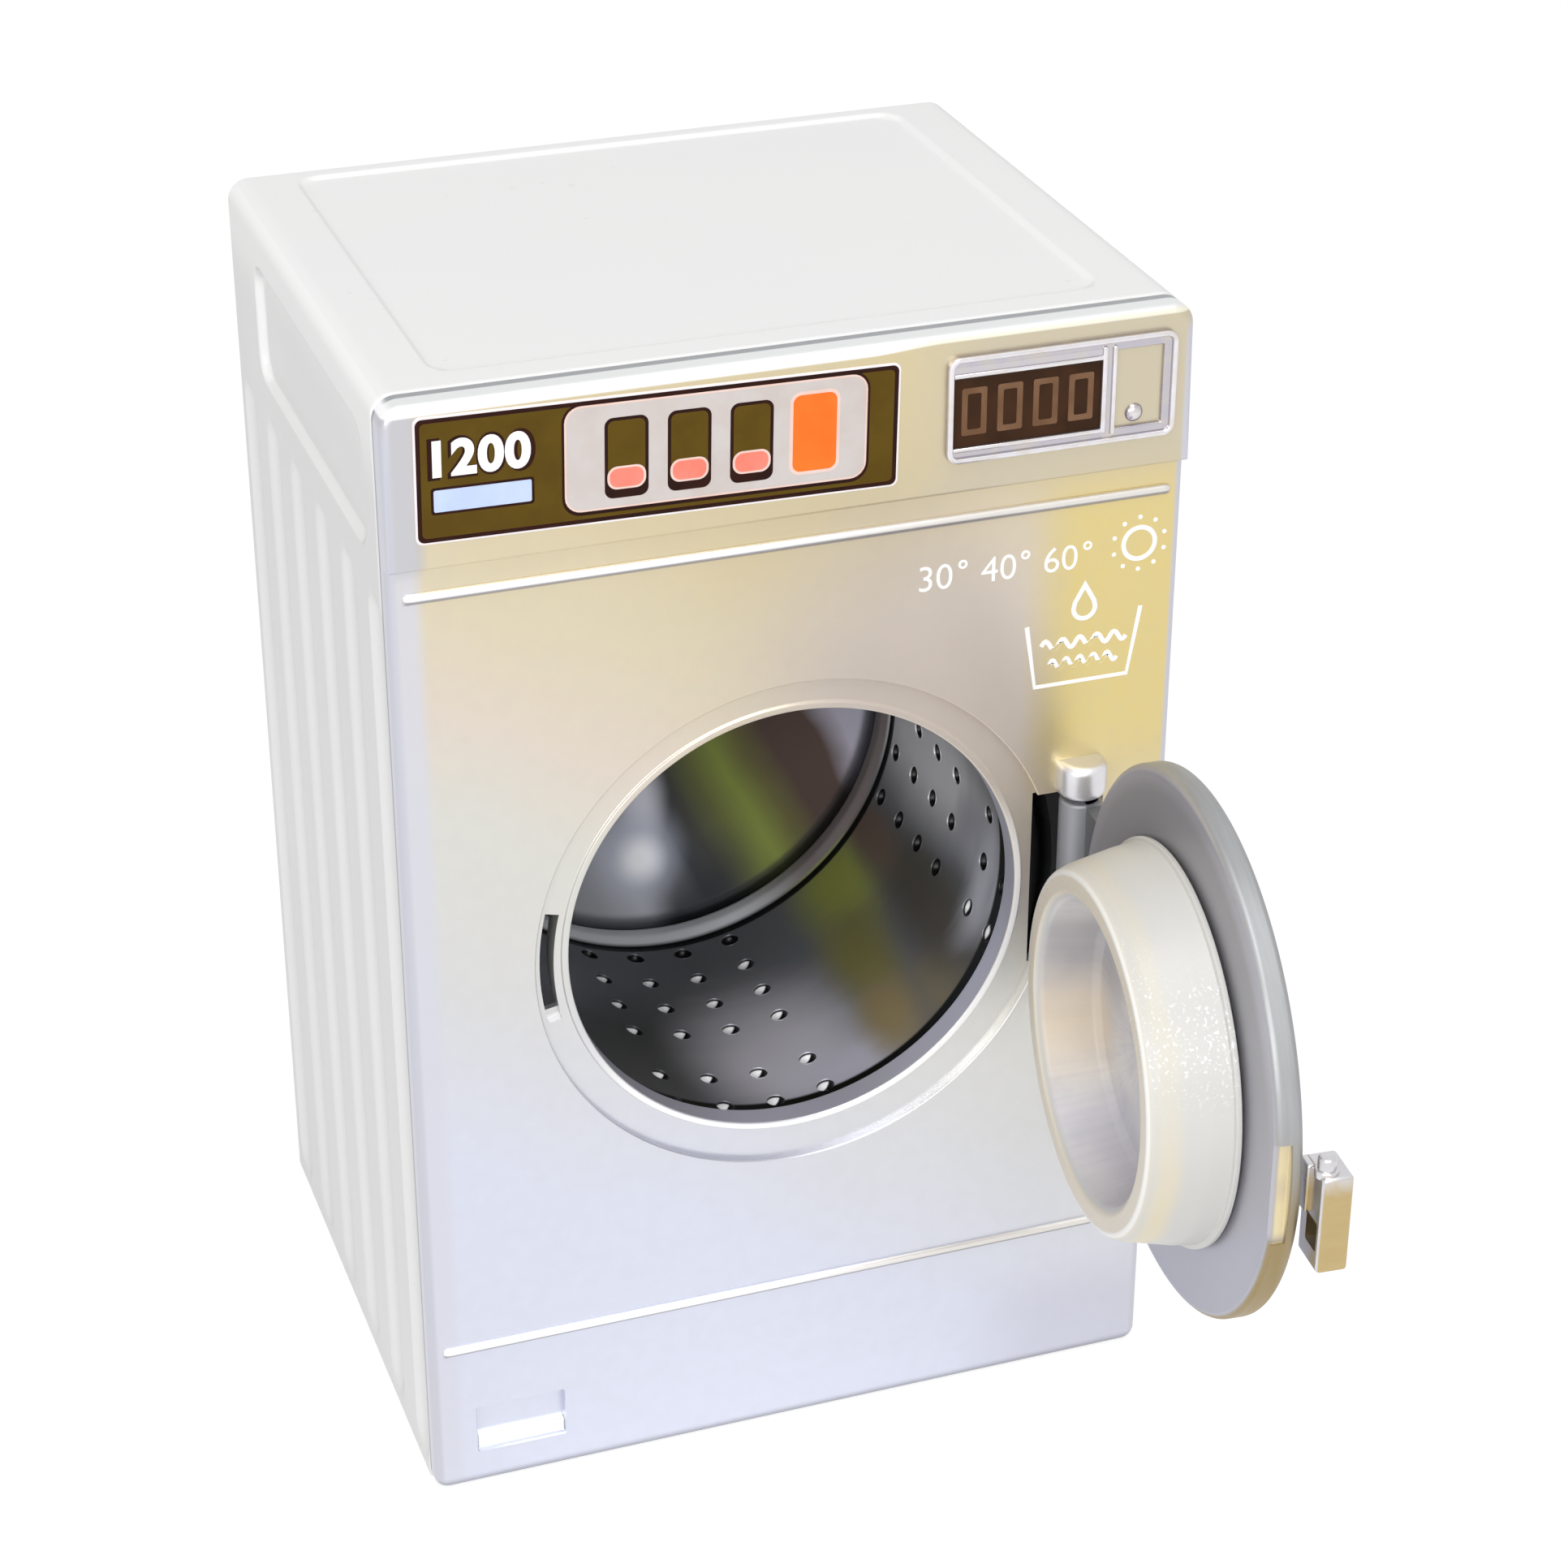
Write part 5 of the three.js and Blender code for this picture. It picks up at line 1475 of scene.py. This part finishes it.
door = {
    "hingeX": 18.8, "hingeY": -20.65, "open": 85.3, "centreX": -18.8, "centreZ": 37.65, "radius": 16.7,
    "inner": 0.35, "outer": -1.35, "porthole": 10.2, "ringWidth": 1.6, "ringProud": 0.4,
    "latchFlat": (16.05, 33.95, 40.75), "armReach": 15.0, "armEnd": 0.2, "armY": (-1.1, 0.1),
    "armFoot": 32.5, "armHead": 44.3, "knuckle": 1.35, "knuckleHole": 0.65,
}
handle = {
    "body": (-36.8, -33.9, -3.85, -1.95, 32.75, 39.15), "notch": (-36.4, -34.9, -3.25, -0.5, 34.05, 35.95),
    "foot": (-35.15, -33.9, -2.3, -1.65, 35.95, 39.1), "pegPlace": (-35.85, -2.5),
    "peg": (0.55, 38.6, 40.15), "collar": (0.72, 38.9, 39.35),
}
# door colours: the inner tone is painted shade, the golden and handle gold tones are painted warm reflections
doorTones = {
    "main": ("bfbec6", "b5b4bc"), "inner": "9b9a9d", "rim": ("acadae", "939497"),
    "golden": ("9c8652", "e2d3a6"), "arm": ("6a6b6e", "9c9da2"),
    "handle": ("dedde0", "aeabac"), "handleGold": ("c3ad74", "b89c62"),
}
# bowl colours: the milky and streaked tones are the plastic's own; the warm band, bright line, white specks,
# peach, cool and dark fields are painted reflections, highlights, glints, light and shade
bowlTones = {
    "milk": ("dad9d5", "d3d2ce"), "warm": "efdfb4", "rim": ("f5ecda", "ecdfc8"), "line": "fdfcf8",
    "paintedGlints": "ffffff", "peachLight": "e6d2b4", "cool": "cdccdc", "dark": "8f8c90",
    "streaks": [(0.30, "cbc8cd"), (0.45, "d9d6d8"), (0.56, "e4e1df"), (0.70, "efece6")],
}
doorPlace = (Matrix.Translation((door["hingeX"], door["hingeY"], 0))
             @ Matrix.Rotation(math.radians(door["open"]), 4, "Z"))


def doorAxes(graph, place):
    # across, depth and height of a place on the open door, measured from the porthole's centre
    x, y, z = placeParts(graph, place)
    turn = math.radians(door["open"])
    fromHingeX, fromHingeY = x - door["hingeX"], y - door["hingeY"]
    across = fromHingeX * math.cos(turn) + fromHingeY * math.sin(turn) - door["centreX"]
    depth = fromHingeY * math.cos(turn) - fromHingeX * math.sin(turn)
    return across, depth, z - door["centreZ"]


def doorGrey():
    # satin grey film with painted shade on the inner face near the top, lighter on its rim, and a painted
    # warm reflection at the lower edge
    material, graph, shader = newMaterial("door grey film", {"IOR": 1.5})
    place = objectPlace(graph)
    across, depth, height = doorAxes(graph, place)
    radius = graph.length(across, height)
    cloud = noise(graph, place, 90.0, 3.0)
    grain = noise(graph, place, 5200.0, 2.0)
    brushed = noise(graph, graph.vector(across * 0.5, depth * 6.0, height * 0.5), 0.42, 4.0)
    tone = graph.mixed(cloud, *doorTones["main"])
    # painted shade on the inner face, darker towards the top
    inner = graph.step(depth, 0.0, 0.3) * graph.step(radius, 16.2, 15.0)
    tone = graph.tint(tone, inner * graph.step(height, -4.0, 12.0) * 0.75, doorTones["inner"])
    edge = graph.step(radius, 16.3, 16.6)
    tone = graph.blend(edge, tone, graph.mixed(brushed, *doorTones["rim"]))

    # a painted warm reflection on the latch flat and the lower edge, and the hinge arm
    flat = graph.step(radius, 15.9, 16.1) * graph.step(across, -15.7, -16.0) * graph.step(depth, 0.2, -0.1)
    flat = flat * graph.within(height + 0.3, 3.45, 3.35) * (1.0 - edge)
    golden = graph.larger(graph.step(height, 5.0, -5.0) * edge, flat)
    tone = graph.blend(golden * (0.62 + brushed * 0.5), tone, graph.mixed(flat, *doorTones["golden"]))
    arm = graph.step(across, 15.2, 15.6) * graph.within(height - 0.7, 6.4, 6.1) * edge
    tone = graph.blend(arm, tone, graph.mixed(graph.step(across, 17.2, 17.5), *doorTones["arm"]))
    feed(graph, shader, {
        "Base Color": tone,
        "Metallic": 0.62 - inner * 0.12 - flat * 0.3 - arm * 0.3,
        "Roughness": 0.40 + grain * 0.10,
        "Normal": bump(graph, grain + cloud, 0.10, 0.00004),
    })
    return material


def frostedClear():
    # milky clear plastic: satin outside with painted glints, brushed and greyer inside the bowl
    fixed = {"IOR": 1.46, "Transmission Weight": 0.12, "Metallic": 0.0}
    material, graph, shader = newMaterial("frosted clear plastic", fixed)
    place = objectPlace(graph)
    across, depth, height = doorAxes(graph, place)
    radius = graph.length(across, height)
    inside = graph.step(radius, 9.5, 9.1) * graph.step(depth, 1.0, 1.6)
    cloud = noise(graph, place, 130.0, 2.0)
    grain = noise(graph, place, 3200.0, 2.0)
    spoke = graph.vector(across / radius * 20.0, height / radius * 20.0, radius * 0.25)
    brushed = noise(graph, spoke, 0.9, 4.0, 0.65)
    soft = noise(graph, place, 260.0, 3.0)

    # outside: a painted warm reflection below the rim, a painted highlight line on it, painted glints near
    # the top
    paintedGlints = graph.step(noise(graph, place, 5200.0, 1.0), 0.60, 0.68) * graph.step(cloud, 0.35, 0.55)
    paintedGlints = paintedGlints * graph.within(height - 6.6, 4.8, 1.0) * (1.0 - inside)
    warm = graph.within(depth - 4.7 + (cloud - 0.5) * 1.6, 1.1, 0.1) * graph.step(radius, 10.4, 10.9)
    warm = warm * (0.2 + 0.4 * graph.step(height, 4.0, -6.0))
    atRim = graph.step(depth, 5.0, 5.4)
    rim = graph.band(radius, (9.4, 9.7), (10.9, 11.2)) * atRim
    milk = graph.tint(graph.mixed(cloud, *bowlTones["milk"]), warm, bowlTones["warm"])
    milk = graph.blend(rim * 0.8, milk, graph.mixed(cloud, *bowlTones["rim"]))
    milk = graph.tint(milk, graph.within(radius - 10.85, 0.22, 0.08) * atRim, bowlTones["line"])
    milk = graph.tint(milk, paintedGlints * 0.7, bowlTones["paintedGlints"])

    # inside: streaks away from the centre, painted peach light and a painted shade field towards the hinge, a
    # painted cool reflection at the foot
    streaks = graph.ramp(bowlTones["streaks"], brushed * 0.4 + soft * 0.6)
    peachLight = 1.0 - graph.step(graph.length((across - 8.8) * 0.34, (height + 3.2) * 0.30), 0.1, 1.7)
    streaks = graph.tint(streaks, peachLight * 0.7, bowlTones["peachLight"])
    cool = graph.step(height + across * 0.5, -3.0, -5.5)
    streaks = graph.tint(streaks, cool * 0.4, bowlTones["cool"])
    dark = graph.step(graph.length((across - 7.2) / 4.2, (height - 2.2) / 3.6), 1.25, 0.3)
    streaks = graph.tint(streaks, dark * (0.20 + brushed * 0.6), bowlTones["dark"])
    feed(graph, shader, {
        "Base Color": graph.blend(inside, milk, streaks),
        "Roughness": 0.30 + brushed * 0.12 + grain * 0.05 - paintedGlints * 0.15,
        "Normal": bump(graph, brushed * inside * 1.2 + grain * 0.25, 0.22, 0.00008),
    })
    return material


def handleFilm():
    # the handle's bright film, with a painted golden reflection on the face that looks out of the door
    material, graph, shader = newMaterial("handle film", {"Metallic": 0.95})
    place = objectPlace(graph)
    z = placeParts(graph, place)[2]
    mottle = noise(graph, place, 800.0, 3.0)
    streak = noise(graph, stretched(graph, place, (0.4, 0.4, 2.2)), 900.0, 3.0)
    outwards = graph.step(facingParts(graph)[1], -0.55, -0.85)
    gold = outwards * graph.step(z + (mottle - 0.5) * 2.0, 39.6, 37.6)
    tone = graph.mixed(mottle * 0.6, *doorTones["handle"])
    feed(graph, shader, {
        "Base Color": graph.blend(gold * 0.9, tone, graph.mixed(streak, *doorTones["handleGold"])),
        "Roughness": 0.18 + mottle * 0.14,
        "Normal": bump(graph, mottle, 0.2, 0.00008),
    })
    return material


def doorDisc():
    d = door
    ring, proud = d["porthole"] + d["ringWidth"], d["outer"] - d["ringProud"]
    profile = filleted([
        (d["porthole"], d["inner"], 0.12), (d["radius"], d["inner"], 0.45), (d["radius"], d["outer"], 0.4),
        (ring, d["outer"], 0.1), (ring, proud, 0.18), (d["porthole"], proud, 0.18),
    ], 5)
    disc = lathe(profile, (d["centreX"], d["centreZ"]), 192)
    reach, low, high = d["latchFlat"]
    left = d["centreX"] - reach
    flat = roundedBox(left - 3, left, d["inner"] - 1.0, 3, low, high, 0.12, 2)
    foot, head = d["armFoot"], d["armHead"]
    arm = roundedBox(d["centreX"] + d["armReach"], d["armEnd"], *d["armY"], foot, head, 0.12, 3)
    hole, r = d["knuckleHole"], d["knuckle"]
    section = filleted([(hole, foot, 0.1), (r, foot, 0.2), (r, head, 0.2), (hole, head, 0.1)], 4)
    return joined(carved(disc, flat), arm, uprightLathe(section, 0, 0))


def doorBowl():
    # from the middle of its outer face round the rim to the middle of its floor
    profile = filleted([
        (0, -1.35), (9.9, -1.35, 0.15), (9.9, 0.65), (12.4, 0.65, 0.1), (12.4, 1.0, 0.12),
        (12.12, 1.08, 0.05), (11.95, 2.3, 3.0), (11.35, 5.0, 0.8), (11.0, 5.85, 0.5), (9.75, 5.85, 0.35),
        (9.2, 5.5, 0.5), (8.6, 2.35, 0.5), (8.2, 1.95, 0.35), (0, 1.95),
    ], 6, closed=False)
    return lathe(profile, (door["centreX"], door["centreZ"]), 168, closed=False)


def stud(size, rounding, steps):
    radius, foot, head = size
    corners = [(0.0, foot), (radius, foot), (radius, head, rounding), (0.0, head)]
    return uprightLathe(filleted(corners, steps, closed=False), *handle["pegPlace"], 32)


def doorHandle():
    body = roundedBox(*handle["body"], 0.26, 4)
    notch = roundedBox(*handle["notch"], 0.15, 2)
    foot = roundedBox(*handle["foot"], 0.15, 3)
    return joined(carved(body, notch), foot, stud(handle["peg"], 0.18, 4), stud(handle["collar"], 0.1, 3))


piece("doorDisc", doorDisc(), doorGrey(), "door", ["door_disc"], place=doorPlace)
piece("doorBowl", doorBowl(), frostedClear(), "door", ["door_bowl"], place=doorPlace)
piece("doorHandle", doorHandle(), handleFilm(), "door", ["door_handle"], place=doorPlace)
print("door made")


# CAD nodes that stay

kept = {
    "nodes": {
        "tub": black, "bearing_bush": black, "drum_spindle": steel, "spindle_clip": steel, "hinge_pin": steel,
    },
    "edge": 0.08, "weldWithin": 0.001,
}
for name, material in kept["nodes"].items():
    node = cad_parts[name]
    node.data.materials.clear()
    node.data.materials.append(material)
    weld = node.modifiers.new("weld", "WELD")
    weld.merge_threshold = kept["weldWithin"] * millimetre
    softened = node.modifiers.new("softened", "BEVEL")
    softened.width, softened.segments, softened.limit_method = kept["edge"] * millimetre, 2, "ANGLE"
    softened.angle_limit = math.radians(40)
print("kept nodes dressed")


# Stage: floor, light and camera, in metres

stageValues = {
    "floorSize": 6.0, "floorZ": -2e-5, "floorLit": 0.88, "floorSoft": 0.42, "seen": 0.72,
    "worldSeen": 1.0, "worldLight": 0.40, "lampAim": (0.0, 0.0, 0.038),
    "lamps": [("keyLight", (-0.05, -0.28, 0.80), 0.50, 2.75), ("leftLight", (-0.46, -0.56, 0.30), 0.30, 1.75),
              ("frontLight", (-0.10, -0.72, 0.42), 0.36, 1.45)],
    "lens": 84.5, "roll": 0.04, "cameraPlace": (-0.06676, -0.20689, 0.15595),
    "cameraAim": (0.00622, 0.0, 0.03688),
}


def grey(value):
    return value, value, value, 1.0


def directRays(graph):
    # 1 for rays that show the stage itself: seen directly, in metal or through clear plastic
    names = ("Is Camera Ray", "Is Glossy Ray", "Is Transmission Ray")
    camera, glossy, through = graph.outputs(graph.node("ShaderNodeLightPath"), names)
    return graph.smaller(camera + glossy + through, 1.0)


def byRay(graph, lighting, shown, outputKind):
    # one shader lights the washing machine and the other is what is seen behind it
    both = graph.node("ShaderNodeMixShader", None, {0: directRays(graph), 1: lighting, 2: shown})
    graph.node(outputKind, None, {"Surface": both})


def makeFloor():
    v = stageValues
    size, z = v["floorSize"], v["floorZ"]
    mesh = bpy.data.meshes.new("floor")
    corners = [(-size, -size, z), (size, -size, z), (size, size, z), (-size, size, z)]
    mesh.from_pydata(corners, [], [(0, 1, 2, 3)])
    floor = bpy.data.objects.new("floor", mesh)
    scene.collection.objects.link(floor)
    material = bpy.data.materials.new("pale floor")
    material.use_nodes = True
    material.node_tree.nodes.clear()
    graph = Graph(material.node_tree)
    lighting = graph.node("ShaderNodeBsdfDiffuse", None, {"Color": grey(v["floorLit"])})
    glow = graph.node("ShaderNodeEmission", None, {"Color": grey(1.0), "Strength": v["seen"]})
    soft = graph.node("ShaderNodeBsdfDiffuse", None, {"Color": grey(v["floorSoft"])})
    shown = graph.node("ShaderNodeAddShader", None, {0: glow, 1: soft})
    byRay(graph, lighting, shown, "ShaderNodeOutputMaterial")
    mesh.materials.append(material)


def makeWorld():
    world = bpy.data.worlds.new("studio")
    scene.world = world
    world.use_nodes = True
    world.node_tree.nodes.clear()
    graph = Graph(world.node_tree)
    lighting, shown = [
        graph.node("ShaderNodeBackground", None, {"Color": grey(1.0), "Strength": stageValues[strength]})
        for strength in ("worldLight", "worldSeen")]
    byRay(graph, lighting, shown, "ShaderNodeOutputWorld")


def softLight(name, place, size, power):
    data = bpy.data.lights.new(name, "AREA")
    data.shape, data.size, data.energy, data.color = "SQUARE", size, power, (1.0, 1.0, 1.0)
    lamp = bpy.data.objects.new(name, data)
    lamp.location = place
    aim = Vector(stageValues["lampAim"]) - Vector(place)
    lamp.rotation_euler = aim.to_track_quat("-Z", "Y").to_euler()
    scene.collection.objects.link(lamp)


def makeCamera():
    v = stageValues
    data = bpy.data.cameras.new("camera")
    data.lens, data.sensor_width = v["lens"], 36.0
    data.clip_start, data.clip_end = 0.01, 20.0
    camera = bpy.data.objects.new("camera", data)
    place = Vector(v["cameraPlace"])
    ahead = (Vector(v["cameraAim"]) - place).normalized()
    right = ahead.cross(Vector((0, 0, 1))).normalized()
    up = right.cross(ahead)
    roll = math.radians(v["roll"])
    rolledRight = right * math.cos(roll) + up * math.sin(roll)
    rolledUp = up * math.cos(roll) - right * math.sin(roll)
    turn = Matrix((rolledRight, rolledUp, -ahead)).transposed().to_4x4()
    camera.matrix_world = Matrix.Translation(place) @ turn
    scene.collection.objects.link(camera)
    scene.camera = camera


makeFloor()
makeWorld()
for name, place, size, power in stageValues["lamps"]:
    softLight(name, place, size, power)
makeCamera()
scene.view_settings.view_transform = "Standard"
print("stage made")
